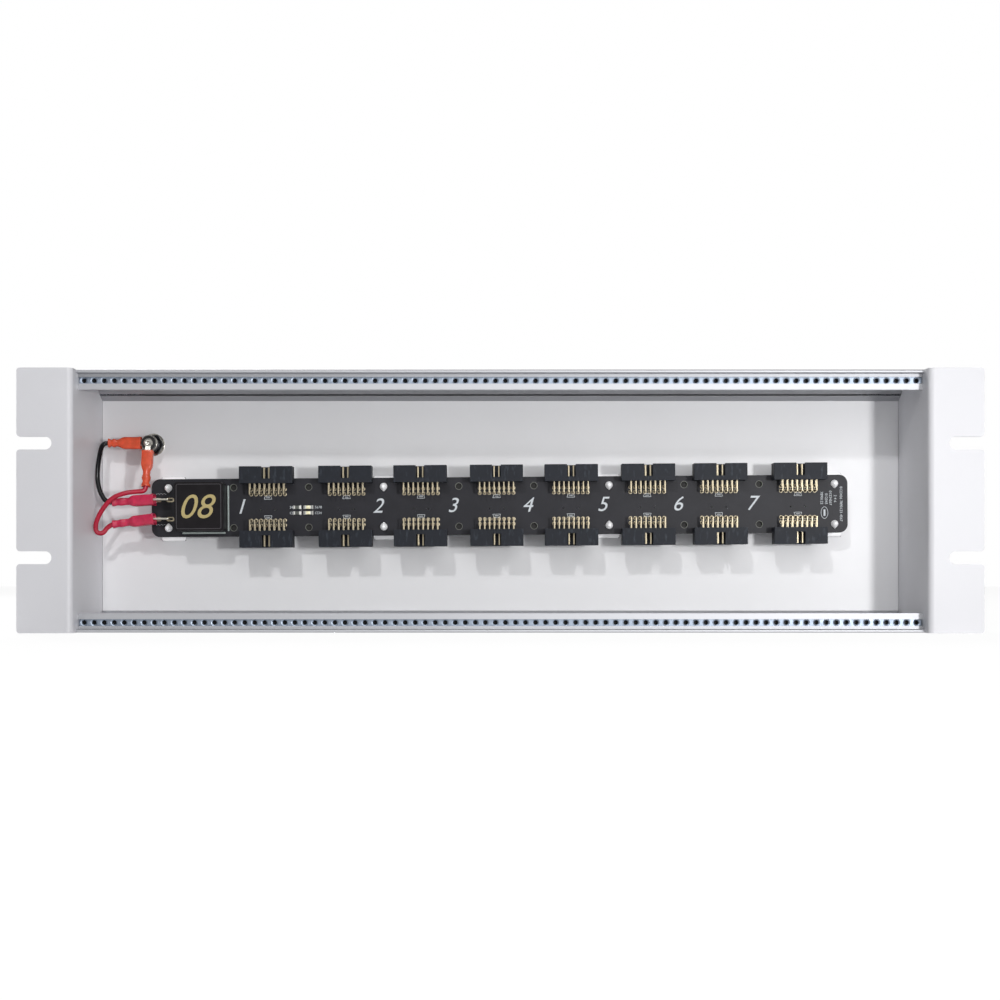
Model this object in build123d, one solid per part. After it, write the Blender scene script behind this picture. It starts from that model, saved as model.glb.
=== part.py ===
"""Modular synthesizer case: a 3U, 84 HP rack shell with lipped rails and a powered bus board.

Drawn in millimetres in case coordinates: X to the right as seen from the front, Y the depth
behind the rack ears' front face, Z the height above the middle of the case. save() moves each
piece to the row's frame, whose origin is the bottom centre of the whole case.
"""

import math
import os

from build123d import *

os.makedirs("parts", exist_ok=True)

# Rack and module standards
RACK_WIDTH = 482.6
RACK_HEIGHT = 132.5
EAR_SLOT_SPACING_Z = 57.15
HP = 5.08

# Side panels: folded steel sheet
EAR_REACH = 27.75  # from the wall's inner face to the ear's edge
SHEET = 2.0
BEND_OUTER = 3.0
EAR_SLOT_LENGTH = 17.5
EAR_SLOT_HEIGHT = 6.4
EAR_SLOT_MOUTH_ROUND = 1.8
EAR_CORNER = 1.5

# Wraparound cover: top, back and bottom in one folded sheet
COVER_SHEET = 1.2
COVER_BACK_DEPTH = 60.0
COVER_BEND_INNER = 1.0
COVER_SIDE_CLEARANCE = 0.2
COVER_SCREW_INSET = 73.55  # from the side panel's inner face

# Front rails, with heights as drops below the top of the case
LIP_HEIGHT = 1.75
LIP_DEPTH = 7.5
LIP_ROUND = 0.7
LIP_BACK = 11.5
RAIL_FACE_DEPTH = 11.0
RAIL_FACE_DROP = 9.75
RAIL_FOOT = 2.0
SLOPE_RUN = 10.0
SLOPE_RISE = 3.7
STRIP_DROP = 5.0
STRIP_SLOT = 3.4
STRIP_LIP = 1.5
STRIP_HEIGHT = 5.6
STRIP_THICKNESS = 3.0
STRIP_PLAY = 0.2
STRIP_END_GAP = 0.35
STRIP_END_WEB = 0.8  # least metal between the last hole and the strip's end
TAP_HOLE = 2.5
FRONT_PORT_ALONG = 7.7

# Rear rails, measured forward from the back of the case and down from its top
REAR_FOOT = 0.4
REAR_DROP = 10.05
REAR_SLOPE_RUN = 8.2
REAR_SLOPE_RISE = 4.6
REAR_PORT_ALONG = 5.24

# What both kinds of rail share
FLANGE_THICKNESS = 3.0
FLANGE_LENGTH = 8.0
PORT_RADIUS = 2.3
PORT_INSET = 2.78
PORT_SLOT = 1.7

# Screws
RAIL_SCREW_INSIDE = 25.8
RAIL_SCREW_POINT = 5.0
RAIL_SCREW_TIP_RADIUS = 0.3
RAIL_SCREW_HEAD_RADIUS = 4.4
RAIL_SCREW_HEAD_HEIGHT = 3.0
RAIL_SCREW_HEAD_CHAMFER = 1.2
RAIL_SCREW_HOLE = 5.8
COVER_SCREW_RADIUS = 1.5
COVER_SCREW_HEAD_RADIUS = 2.8
COVER_SCREW_LENGTH = 5.0

# Bus board, in its own frame: origin at the middle of its front face
BOARD_LEFT_GAP = 29.65
BOARD_RIGHT_GAP = 30.45
BOARD_HEIGHT = 30.6
BOARD_THICKNESS = 1.6
BOARD_CORNER = 4.5
BOARD_MIDDLE = -0.7
BOARD_TILT = 0.39
STANDOFF_LENGTH = 12.7
STANDOFF_ROW = 10.6
STANDOFF_BASE = 12.7
STANDOFF_BASE_THICKNESS = 1.2
STANDOFF_FOAM = 0.8
STANDOFF_POST_RADIUS = 2.9
SNAP_HEIGHT = 4.2
SNAP_RADIUS = 2.0
SNAP_TIP_RADIUS = 0.7
SNAP_THICKNESS = 2.8
BOARD_HOLE = 3.3
HOLE_COLUMNS = 9
HOLE_INSET_RIGHT = 7.0
HOLE_INSET_LEFT = 43.2
END_HOLE_INSET = 9.0
STANDOFF_COLUMNS = (0, 3, 6, 9)
VIA = 0.8
VIA_OFFSET_X = 3.8
VIA_Z = -1.3

# Box headers: sixteen pins each, one row above and one below the board's middle
HEADER_INSET_LEFT = 61.4
HEADER_INSET_RIGHT = 26.2
HEADER_SHIFTS = (0.0, 1.5, 0.8, 0.8, 0.0, 0.4, -1.8, 0.0)  # from even spacing
HOUSING_LENGTH = 27.8
HOUSING_HEIGHT = 8.9
HOUSING_INNER = 12.4
HOUSING_MOUTH = 21.2
HOUSING_FLOOR = 2.4
HOUSING_WALL = 1.3
KEY_SLOT = 4.5
PIN = 0.64
PIN_PITCH = 2.54
PINS_PER_ROW = 8
PIN_ROWS = ((3.18, 9.44), (5.72, 6.9))  # height over the board, distance of the foot
PIN_TIP = 20.7

# Converter block
CONVERTER = 25.4
CONVERTER_HEIGHT = 11.7
CONVERTER_INSET = 26.9
CONVERTER_Z = 0.3
CONVERTER_CORNER = 1.6
CONVERTER_PINS = ((-10.16, 5.08), (-10.16, -5.08), (10.16, 5.08), (10.16, 0.0), (10.16, -5.08))
CONVERTER_PIN_RADIUS = 0.5
TAIL = 1.2

# Indicator LEDs and their resistors
CHIP_ROWS_Z = (0.0, -3.0)
LED_INSET = 82.6
RESISTOR_INSET = 76.7
CHIP_LENGTH = 3.2
CHIP_WIDTH = 1.6
LED_HEIGHT = 1.1
RESISTOR_HEIGHT = 0.6

# Board tabs for the supply wires: lengths are measured from the board's left end
TAB_Z = (4.3, -5.8)
TAB_OVERHANG = 4.9
TAB_INSET = 10.0
TAB_WIDTH = 6.35
TAB_THICKNESS = 0.8
TAB_LIFT = 1.2
TAB_LEG_INSETS = (4.1, 9.0)
TAB_LEG = 1.4

# Supply jack
JACK_WALL_GAP = 27.55  # from the left panel's inner face to the jack's axis
JACK_Z = 32.7
JACK_THREAD_RADIUS = 4.0
JACK_FLANGE_RADIUS = 5.6
JACK_FLANGE = 2.0
JACK_BORE_RADIUS = 2.9
JACK_BUSH_INSIDE = 5.0
JACK_CORE_RADIUS = 3.8
JACK_CORE_LENGTH = 7.8
JACK_WASHER = 0.6
JACK_WASHER_RADIUS = 6.0
JACK_NUT = 2.2
JACK_NUT_FLATS = 10.0
JACK_PIN_RADIUS = 1.05
JACK_RIVET_RADIUS = 2.4
LUG_WIDTH = 2.8
LUG_THICKNESS = 0.6
SIDE_LUG_SETBACK = 6.0
SIDE_LUG_LENGTH = 8.0
SIDE_LUG_COLLAR = 0.5
SIDE_CRIMP_START = 4.2
DOWN_LUG_LENGTH = 11.0
DOWN_LUG_TILT = 13.6
DOWN_CRIMP_START = 4.7

# Insulated crimp receptacles: width, thickness, wide length, whole length, depth of the mouth
BOARD_CRIMP = (8.4, 5.8, 11.0, 22.0, 2.0)
SIDE_LUG_CRIMP = (6.3, 4.4, 9.4, 17.2, 1.5)
DOWN_LUG_CRIMP = (5.8, 4.4, 8.6, 19.4, 1.5)
BOARD_CRIMP_MOUTH_INSET = 2.5
BOARD_CRIMP_TURNS = (3.3, 7.0)
CRIMP_WALL = 0.7
CRIMP_NARROW_RADIUS = 1.95
CRIMP_END_RADIUS = 2.3
CRIMP_FLARE = 2.0
CRIMP_TAPER = 2.5
CRIMP_GRIP = 6.5
BARREL_RADIUS = 1.3

# Wires: each end leaves its receptacle straight for a short run
WIRE_RADIUS = 1.25
SIDE_LUG_EXIT = 3.2
DOWN_LUG_EXIT = 2.6
BOARD_EXIT = 3.0
ARC_SHARE = 0.45  # of the shorter run, taken by the arc at a corner

# Values that follow from the sizes above
INNER_WIDTH = RACK_WIDTH - 2 * EAR_REACH
HALF_INNER = INNER_WIDTH / 2
HALF_HEIGHT = RACK_HEIGHT / 2
LIP_INNER = HALF_HEIGHT - LIP_HEIGHT
COVER_INNER = HALF_HEIGHT - COVER_SHEET
COVER_OUTER_DEPTH = COVER_BACK_DEPTH + COVER_SHEET
RAIL_INNER_EDGE = HALF_HEIGHT - RAIL_FACE_DROP
FRONT_SLOPE_DEPTH = RAIL_FACE_DEPTH + RAIL_FOOT
FRONT_SLOPE = (
    (FRONT_SLOPE_DEPTH, RAIL_INNER_EDGE),
    (FRONT_SLOPE_DEPTH + SLOPE_RUN, RAIL_INNER_EDGE + SLOPE_RISE),
)
REAR_SLOPE_DEPTH = COVER_BACK_DEPTH - REAR_FOOT
REAR_INNER_EDGE = HALF_HEIGHT - REAR_DROP
REAR_SLOPE = (
    (REAR_SLOPE_DEPTH, REAR_INNER_EDGE),
    (REAR_SLOPE_DEPTH - REAR_SLOPE_RUN, REAR_INNER_EDGE + REAR_SLOPE_RISE),
)
STRIP_LENGTH = INNER_WIDTH - 2 * STRIP_END_GAP
HOLES_PER_STRIP = int((STRIP_LENGTH - TAP_HOLE - 2 * STRIP_END_WEB) / HP) + 1

BOARD_LENGTH = INNER_WIDTH - BOARD_LEFT_GAP - BOARD_RIGHT_GAP
BOARD_X = (BOARD_LEFT_GAP - BOARD_RIGHT_GAP) / 2
BOARD_RIGHT = BOARD_LENGTH / 2
BOARD_LEFT = -BOARD_RIGHT
BOARD_BACK_DEPTH = COVER_BACK_DEPTH - STANDOFF_LENGTH
BOARD_FRONT_DEPTH = BOARD_BACK_DEPTH - BOARD_THICKNESS
HOLE_PITCH = (BOARD_LENGTH - HOLE_INSET_RIGHT - HOLE_INSET_LEFT) / (HOLE_COLUMNS - 1)
BOARD_HOLES_X = [BOARD_RIGHT - HOLE_INSET_RIGHT - HOLE_PITCH * k for k in range(HOLE_COLUMNS)]
BOARD_HOLES_X.append(BOARD_LEFT + END_HOLE_INSET)
STANDOFFS_X = [BOARD_HOLES_X[column] for column in STANDOFF_COLUMNS]
HEADER_PITCH = (BOARD_LENGTH - HEADER_INSET_LEFT - HEADER_INSET_RIGHT) / (len(HEADER_SHIFTS) - 1)
HEADERS_X = [
    BOARD_LEFT + HEADER_INSET_LEFT + HEADER_PITCH * k + shift
    for k, shift in enumerate(HEADER_SHIFTS)
]
CONVERTER_X = BOARD_LEFT + CONVERTER_INSET
LED_X = BOARD_LEFT + LED_INSET
RESISTOR_X = BOARD_LEFT + RESISTOR_INSET

JACK_X = JACK_WALL_GAP - HALF_INNER
BUSH_END = COVER_BACK_DEPTH - JACK_BUSH_INSIDE
JACK_CORE_END = BUSH_END - JACK_CORE_LENGTH
SIDE_LUG_DEPTH = BUSH_END - SIDE_LUG_SETBACK

TOTAL_DEPTH = COVER_OUTER_DEPTH + JACK_FLANGE
ROW_FRAME = Location((0, -TOTAL_DEPTH / 2, HALF_HEIGHT))
BOARD_FRAME = Location((BOARD_X, BOARD_FRONT_DEPTH, BOARD_MIDDLE), (0, -BOARD_TILT, 0))


def save(name, solids):
    """Write the solids of one node, moved to the row's frame."""
    moved = [ROW_FRAME * solid for group in solids for solid in group.solids()]
    export_step(moved[0] if len(moved) == 1 else Compound(moved), f"parts/{name}.step")


def block(x, y, z):
    """A box from three (low, high) pairs."""
    size = [high - low for low, high in (x, y, z)]
    middle = [(high + low) / 2 for low, high in (x, y, z)]
    return Pos(*middle) * Box(*size)


def around(middle, width):
    """The (low, high) pair of a width centred on a value."""
    return (middle - width / 2, middle + width / 2)


def rod(radius, start, end):
    """A round bar from one point to another."""
    axis = Vector(*end) - Vector(*start)
    base = Plane(origin=start, z_dir=axis)
    return extrude(base * Circle(radius), amount=axis.length)


def above_and_below(shape):
    """A shape and its mirror image across the middle of the case or board."""
    return [shape, mirror(shape, about=Plane.XY)]


def across(points):
    """A bar over the inside width, with the section given as (depth, height) points."""
    section = make_face(Polyline(*points, close=True))
    return extrude(Plane.YZ * section, amount=HALF_INNER, both=True)


def screw_port(slope, along):
    """Centre of a rail's screw port and the shape that cuts it and its slot."""
    (low_y, low_z), (high_y, high_z) = slope
    run = math.hypot(high_y - low_y, high_z - low_z)
    step_y, step_z = (high_y - low_y) / run, (high_z - low_z) / run
    side = 1 if step_y > 0 else -1
    foot_y, foot_z = low_y + step_y * along, low_z + step_z * along
    centre_y = foot_y - side * step_z * PORT_INSET
    centre_z = foot_z + abs(step_y) * PORT_INSET
    bore = Pos(0, centre_y, centre_z) * Rot(0, 90, 0) * Cylinder(PORT_RADIUS, INNER_WIDTH)
    turn = side * math.degrees(math.atan2(step_z, abs(step_y)))
    slot = Box(INNER_WIDTH, PORT_SLOT, 2 * PORT_INSET)
    slot = Pos(0, centre_y, centre_z) * Rot(turn, 0, 0) * Pos(0, 0, -PORT_INSET) * slot
    return (centre_y, centre_z), bore + slot


def cover_screw(x, depth):
    """A countersunk screw pointing down from the top of the cover."""
    cone_height = COVER_SCREW_HEAD_RADIUS - COVER_SCREW_RADIUS
    head = Cone(COVER_SCREW_RADIUS, COVER_SCREW_HEAD_RADIUS, cone_height)
    head = Pos(x, depth, HALF_HEIGHT - cone_height / 2) * head
    return head + rod(
        COVER_SCREW_RADIUS,
        (x, depth, HALF_HEIGHT - cone_height),
        (x, depth, HALF_HEIGHT - COVER_SCREW_LENGTH),
    )


# Rails
front_port, front_port_cut = screw_port(FRONT_SLOPE, FRONT_PORT_ALONG)
rear_port, rear_port_cut = screw_port(REAR_SLOPE, REAR_PORT_ALONG)
strip_middle = HALF_HEIGHT - STRIP_DROP
strip_front = RAIL_FACE_DEPTH + STRIP_LIP
front_flange_end = FRONT_SLOPE[1][0] + FLANGE_LENGTH
rear_flange_end = REAR_SLOPE[1][0] - FLANGE_LENGTH
flange_inner = COVER_INNER - FLANGE_THICKNESS

front_rail = across([
    (RAIL_FACE_DEPTH, LIP_INNER),
    (LIP_DEPTH, LIP_INNER),
    (LIP_DEPTH, HALF_HEIGHT),
    (LIP_BACK, HALF_HEIGHT),
    (LIP_BACK, COVER_INNER),
    (front_flange_end, COVER_INNER),
    (front_flange_end, flange_inner),
    (FRONT_SLOPE[1][0], flange_inner),
    FRONT_SLOPE[1],
    FRONT_SLOPE[0],
    (RAIL_FACE_DEPTH, RAIL_INNER_EDGE),
])
lip_edges = front_rail.edges().filter_by(Axis.X).group_by(Axis.Y)[0]
front_rail = fillet(lip_edges, LIP_ROUND)
whole_x = around(0, INNER_WIDTH)
front_rail -= block(
    whole_x, (RAIL_FACE_DEPTH, strip_front), around(strip_middle, STRIP_SLOT)
)
front_rail -= block(
    whole_x,
    (strip_front, strip_front + STRIP_THICKNESS + STRIP_PLAY),
    around(strip_middle, STRIP_HEIGHT + STRIP_PLAY),
)
front_rail -= front_port_cut

rear_rail = across([
    (COVER_BACK_DEPTH, REAR_SLOPE[0][1]),
    (COVER_BACK_DEPTH, COVER_INNER - COVER_BEND_INNER),
    (COVER_BACK_DEPTH - COVER_BEND_INNER, COVER_INNER),
    (rear_flange_end, COVER_INNER),
    (rear_flange_end, flange_inner),
    (REAR_SLOPE[1][0], flange_inner),
    REAR_SLOPE[1],
    REAR_SLOPE[0],
])
rear_rail -= rear_port_cut

# Screws through the cover into the rails' flanges
cover_screws_top = []
for screw_depth in (front_flange_end - FLANGE_LENGTH / 2, rear_flange_end + FLANGE_LENGTH / 2):
    for screw_x in (COVER_SCREW_INSET - HALF_INNER, HALF_INNER - COVER_SCREW_INSET):
        cover_screws_top.append(cover_screw(screw_x, screw_depth))
for screw in cover_screws_top:
    front_rail -= screw
    rear_rail -= screw
cover_screws = [half for screw in cover_screws_top for half in above_and_below(screw)]

# Threaded strips
tapped = Rectangle(STRIP_LENGTH, STRIP_HEIGHT)
tapped -= [spot * Circle(TAP_HOLE / 2) for spot in GridLocations(HP, 0, HOLES_PER_STRIP, 1)]
strip_back = Plane.XZ.offset(-(strip_front + STRIP_THICKNESS))
strip = Pos(0, 0, strip_middle) * extrude(strip_back * tapped, amount=STRIP_THICKNESS)

# Side panels
half_width = RACK_WIDTH / 2
wall_outer = HALF_INNER + SHEET
ear_section = [
    (HALF_INNER, COVER_OUTER_DEPTH),
    (HALF_INNER, 0),
    (half_width, 0),
    (half_width, SHEET),
    (wall_outer, SHEET),
    (wall_outer, COVER_OUTER_DEPTH),
]
side_panel = extrude(make_face(Polyline(*ear_section, close=True)), amount=HALF_HEIGHT, both=True)
upright = side_panel.edges().filter_by(Axis.Z)
side_panel = fillet(upright.sort_by_distance((HALF_INNER, 0, 0))[0], BEND_OUTER)
upright = side_panel.edges().filter_by(Axis.Z)
side_panel = fillet(upright.sort_by_distance((wall_outer, SHEET, 0))[0], BEND_OUTER - SHEET)
ear_slot_radius = EAR_SLOT_HEIGHT / 2
round_x = half_width - EAR_SLOT_LENGTH + ear_slot_radius
for slot_z in (-EAR_SLOT_SPACING_Z / 2, EAR_SLOT_SPACING_Z / 2):
    side_panel -= block(
        (round_x, half_width), (0, SHEET), around(slot_z, EAR_SLOT_HEIGHT)
    )
    side_panel -= rod(ear_slot_radius, (round_x, 0, slot_z), (round_x, SHEET, slot_z))
ear_edges = side_panel.edges().filter_by(Axis.Y).group_by(Axis.X)[-1].sort_by(Axis.Z)
side_panel = fillet([ear_edges[0], ear_edges[-1]], EAR_CORNER)
ear_edges = side_panel.edges().filter_by(Axis.Y).group_by(Axis.X)[-1].sort_by(Axis.Z)
side_panel = fillet(ear_edges, EAR_SLOT_MOUTH_ROUND)

# Self-tapping screws through the side panels into the rails' ports
rail_screws_right = []
for port_y, port_z in (front_port, rear_port):
    under_head = (wall_outer, port_y, port_z)
    point_base = (HALF_INNER - RAIL_SCREW_INSIDE + RAIL_SCREW_POINT, port_y, port_z)
    head_end = (wall_outer + RAIL_SCREW_HEAD_HEIGHT, port_y, port_z)
    point = Cone(PORT_RADIUS, RAIL_SCREW_TIP_RADIUS, RAIL_SCREW_POINT)
    point = Pos(point_base[0] - RAIL_SCREW_POINT / 2, port_y, port_z) * Rot(0, -90, 0) * point
    head = rod(RAIL_SCREW_HEAD_RADIUS, under_head, head_end)
    head = chamfer(head.edges().sort_by(Axis.X)[-1], RAIL_SCREW_HEAD_CHAMFER)
    screw = head + rod(PORT_RADIUS, under_head, point_base) + point
    hole = rod(RAIL_SCREW_HOLE / 2, (HALF_INNER, port_y, port_z), under_head)
    for piece, opening in zip(above_and_below(screw), above_and_below(hole)):
        rail_screws_right.append(piece)
        side_panel -= opening
rail_screws = rail_screws_right + [mirror(screw, about=Plane.YZ) for screw in rail_screws_right]

# Wraparound cover
cover_half = HALF_INNER - COVER_SIDE_CLEARANCE
cover_x = (-cover_half, cover_half)
cover = block(cover_x, (LIP_BACK, COVER_OUTER_DEPTH), (-HALF_HEIGHT, HALF_HEIGHT))
cover = fillet(
    cover.edges().filter_by(Axis.X).group_by(Axis.Y)[-1], COVER_BEND_INNER + COVER_SHEET
)
inside = block(cover_x, (LIP_BACK - COVER_SHEET, COVER_BACK_DEPTH), (-COVER_INNER, COVER_INNER))
inside = fillet(inside.edges().filter_by(Axis.X).group_by(Axis.Y)[-1], COVER_BEND_INNER)
cover -= inside
for screw in cover_screws:
    cover -= screw
jack_axis = [(JACK_X, depth, JACK_Z) for depth in (COVER_BACK_DEPTH, COVER_OUTER_DEPTH)]
cover -= rod(JACK_THREAD_RADIUS, *jack_axis)

save("left_side_panel", [mirror(side_panel, about=Plane.YZ)])
save("right_side_panel", [side_panel])
save("front_top_rail", [front_rail])
save("front_bottom_rail", [mirror(front_rail, about=Plane.XY)])
save("rear_top_rail", [rear_rail])
save("rear_bottom_rail", [mirror(rear_rail, about=Plane.XY)])
save("top_threaded_strip", [strip])
save("bottom_threaded_strip", [mirror(strip, about=Plane.XY)])
save("rail_screws", rail_screws)
save("cover_screws", cover_screws)
save("wraparound_cover", [cover])

# Bus board
board_x = around(0, BOARD_LENGTH)
board = block(board_x, (0, BOARD_THICKNESS), around(0, BOARD_HEIGHT))
board = fillet(board.edges().filter_by(Axis.Y), BOARD_CORNER)
board_cuts = []
for row_z in (-STANDOFF_ROW, STANDOFF_ROW):
    for hole_x in BOARD_HOLES_X:
        board_cuts.append((BOARD_HOLE / 2, hole_x, row_z))
for header_x in HEADERS_X:
    for via_x in (header_x - VIA_OFFSET_X, header_x + VIA_OFFSET_X):
        board_cuts.append((VIA / 2, via_x, VIA_Z))
for pin_x, pin_z in CONVERTER_PINS:
    board_cuts.append((CONVERTER_PIN_RADIUS, CONVERTER_X + pin_x, CONVERTER_Z + pin_z))
board -= [rod(r, (x, 0, z), (x, BOARD_THICKNESS, z)) for r, x, z in board_cuts]

# Tabs for the supply wires
tabs = []
for tab_z in TAB_Z:
    tab = block(
        (BOARD_LEFT - TAB_OVERHANG, BOARD_LEFT + TAB_INSET),
        (-TAB_LIFT - TAB_WIDTH, -TAB_LIFT),
        around(tab_z, TAB_THICKNESS),
    )
    for leg_inset in TAB_LEG_INSETS:
        leg = block(
            around(BOARD_LEFT + leg_inset, TAB_LEG),
            (-TAB_LIFT, BOARD_THICKNESS + TAIL),
            around(tab_z, TAB_THICKNESS),
        )
        tab += leg
        board -= leg
    tabs.append(BOARD_FRAME * tab)

# Converter block with its pins
converter = block(
    around(CONVERTER_X, CONVERTER), (-CONVERTER_HEIGHT, 0), around(CONVERTER_Z, CONVERTER)
)
converter = fillet(converter.edges().filter_by(Axis.Y), CONVERTER_CORNER)
converter += [
    rod(CONVERTER_PIN_RADIUS, (CONVERTER_X + x, 0, CONVERTER_Z + z),
        (CONVERTER_X + x, BOARD_THICKNESS + TAIL, CONVERTER_Z + z))
    for x, z in CONVERTER_PINS
]

leds = []
resistors = []
for chip_z in CHIP_ROWS_Z:
    chip_span = around(chip_z, CHIP_WIDTH)
    leds.append(block(around(LED_X, CHIP_LENGTH), (-LED_HEIGHT, 0), chip_span))
    resistors.append(block(around(RESISTOR_X, CHIP_LENGTH), (-RESISTOR_HEIGHT, 0), chip_span))

# Box headers
housing = block(
    around(0, HOUSING_LENGTH), (-HOUSING_HEIGHT, 0), (HOUSING_INNER, HOUSING_MOUTH)
)
floor_z = HOUSING_INNER + HOUSING_FLOOR
housing -= block(
    around(0, HOUSING_LENGTH - 2 * HOUSING_WALL),
    (HOUSING_WALL - HOUSING_HEIGHT, -HOUSING_WALL),
    (floor_z, HOUSING_MOUTH),
)
housing -= block(
    around(0, KEY_SLOT), (-HOUSING_HEIGHT, HOUSING_WALL - HOUSING_HEIGHT), (floor_z, HOUSING_MOUTH)
)
row_length = (PINS_PER_ROW - 1) * PIN_PITCH + PIN
header_pins = []
for pin_height, foot_z in PIN_ROWS:
    housing -= block(around(0, row_length), around(-pin_height, PIN), (HOUSING_INNER, floor_z))
    outline = [
        (0, foot_z - PIN / 2),
        (-pin_height - PIN / 2, foot_z - PIN / 2),
        (-pin_height - PIN / 2, PIN_TIP),
        (-pin_height + PIN / 2, PIN_TIP),
        (-pin_height + PIN / 2, foot_z + PIN / 2),
        (0, foot_z + PIN / 2),
    ]
    bent = extrude(Plane.YZ * make_face(Polyline(*outline, close=True)), amount=PIN / 2, both=True)
    header_pins += [spot * bent for spot in GridLocations(PIN_PITCH, 0, PINS_PER_ROW, 1)]

upper_pins = []
lower_pins = []
for number, header_x in enumerate(HEADERS_X, start=1):
    upper, lower = above_and_below(Pos(header_x, 0, 0) * housing)
    save(f"upper_header_housing_{number}", [BOARD_FRAME * upper])
    save(f"lower_header_housing_{number}", [BOARD_FRAME * lower])
    for pin in header_pins:
        upper, lower = above_and_below(Pos(header_x, 0, 0) * pin)
        upper_pins.append(BOARD_FRAME * upper)
        lower_pins.append(BOARD_FRAME * lower)

# Standoffs: adhesive base, post, neck through the board and a snap head in front of it
back_y = BOARD_THICKNESS + STANDOFF_LENGTH
foam = block(
    around(0, STANDOFF_BASE), (back_y - STANDOFF_FOAM, back_y), around(0, STANDOFF_BASE)
)
base_back = back_y - STANDOFF_FOAM
standoff = block(
    around(0, STANDOFF_BASE),
    (base_back - STANDOFF_BASE_THICKNESS, base_back),
    around(0, STANDOFF_BASE),
)
standoff += rod(
    STANDOFF_POST_RADIUS, (0, base_back - STANDOFF_BASE_THICKNESS, 0), (0, BOARD_THICKNESS, 0)
)
snap = Cone(SNAP_RADIUS, SNAP_TIP_RADIUS, SNAP_HEIGHT)
snap = Pos(0, -SNAP_HEIGHT / 2, 0) * Rot(90, 0, 0) * snap
snap &= Box(2 * SNAP_RADIUS, 2 * SNAP_HEIGHT, SNAP_THICKNESS)
standoff += rod(BOARD_HOLE / 2, (0, BOARD_THICKNESS, 0), (0, 0, 0)) + snap
standoff_spots = [Pos(x, 0, z) for x in STANDOFFS_X for z in (-STANDOFF_ROW, STANDOFF_ROW)]

save("bus_board", [BOARD_FRAME * board])
save("upper_header_pins", upper_pins)
save("lower_header_pins", lower_pins)
save("converter_block", [BOARD_FRAME * converter])
save("indicator_leds", [BOARD_FRAME * led for led in leds])
save("led_resistors", [BOARD_FRAME * resistor for resistor in resistors])
save("negative_board_tab", [tabs[0]])
save("positive_board_tab", [tabs[1]])
save("board_standoffs", [BOARD_FRAME * spot * standoff for spot in standoff_spots])
save("standoff_foam_pads", [BOARD_FRAME * spot * foam for spot in standoff_spots])


def on_jack(radius, start_depth, end_depth):
    """A round piece on the jack's axis."""
    return rod(radius, (JACK_X, start_depth, JACK_Z), (JACK_X, end_depth, JACK_Z))


# Supply jack
bush = on_jack(JACK_THREAD_RADIUS, BUSH_END, COVER_OUTER_DEPTH)
bush += on_jack(JACK_FLANGE_RADIUS, COVER_OUTER_DEPTH, TOTAL_DEPTH)
bush -= on_jack(JACK_BORE_RADIUS, BUSH_END, TOTAL_DEPTH)
core = on_jack(JACK_CORE_RADIUS, JACK_CORE_END, BUSH_END)
washer_front = COVER_BACK_DEPTH - JACK_WASHER
washer = on_jack(JACK_WASHER_RADIUS, washer_front, COVER_BACK_DEPTH)
washer -= on_jack(JACK_THREAD_RADIUS, washer_front, COVER_BACK_DEPTH)
nut = extrude(
    Plane.XZ * RegularPolygon(JACK_NUT_FLATS / 2, 6, major_radius=False), amount=JACK_NUT
)
nut = Pos(JACK_X, washer_front, JACK_Z) * nut
nut -= on_jack(JACK_THREAD_RADIUS, washer_front - JACK_NUT, washer_front)
core -= on_jack(JACK_PIN_RADIUS, JACK_CORE_END, BUSH_END)
centre_pin = on_jack(JACK_PIN_RADIUS, JACK_CORE_END, COVER_OUTER_DEPTH)
rivet_front = JACK_CORE_END - LUG_THICKNESS
centre_pin += on_jack(JACK_RIVET_RADIUS, rivet_front, JACK_CORE_END)


def crimp(width, thickness, wide_length, total_length, mouth):
    """Sleeve and contact of a receptacle whose mouth is at the origin, pointing to +X."""
    outer = Plane.YZ * RectangleRounded(width, thickness, thickness / 3)
    inner = RectangleRounded(width - 2 * CRIMP_WALL, thickness - 2 * CRIMP_WALL, thickness / 5)
    sleeve = extrude(outer, amount=-wide_length)
    shoulder = Plane.YZ.offset(-wide_length) * RectangleRounded(width, thickness, thickness / 3)
    neck = Plane.YZ.offset(-wide_length - CRIMP_TAPER) * Circle(CRIMP_NARROW_RADIUS)
    sleeve += loft([shoulder, neck])
    flare_start = CRIMP_FLARE - total_length
    sleeve += rod(CRIMP_NARROW_RADIUS, (-wide_length - CRIMP_TAPER, 0, 0), (flare_start, 0, 0))
    flare = Cone(CRIMP_NARROW_RADIUS, CRIMP_END_RADIUS, CRIMP_FLARE)
    sleeve += Pos(flare_start - CRIMP_FLARE / 2, 0, 0) * Rot(0, -90, 0) * flare
    pocket_end = mouth + CRIMP_GRIP
    sleeve -= extrude(Plane.YZ * inner, amount=-pocket_end)
    contact = extrude(Plane.YZ.offset(-mouth) * inner, amount=-CRIMP_GRIP)
    barrel = rod(BARREL_RADIUS, (-pocket_end, 0, 0), (-total_length, 0, 0))
    return sleeve - barrel, contact + barrel


wire_ends = {}


def place_crimp(name, frame, sizes, blade):
    """Save a receptacle's sleeve and contact, cut for its blade, and note its wire end."""
    sleeve, contact = crimp(*sizes)
    save(f"{name}_sleeve", [frame * sleeve])
    save(f"{name}_contact", [frame * contact - blade])
    wire_ends[name] = Plane(frame * Location((-sizes[3], 0, 0)))


blade_middle = -TAB_LIFT - TAB_WIDTH / 2
board_crimp_x = BOARD_LEFT + BOARD_CRIMP_MOUTH_INSET
for name, tab_z, tab, turn in zip(
    ("negative_board_crimp", "positive_board_crimp"), TAB_Z, tabs, BOARD_CRIMP_TURNS
):
    mouth = BOARD_FRAME * Location((board_crimp_x, blade_middle, tab_z), (0, -turn, 0))
    place_crimp(name, mouth, BOARD_CRIMP, tab)

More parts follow.
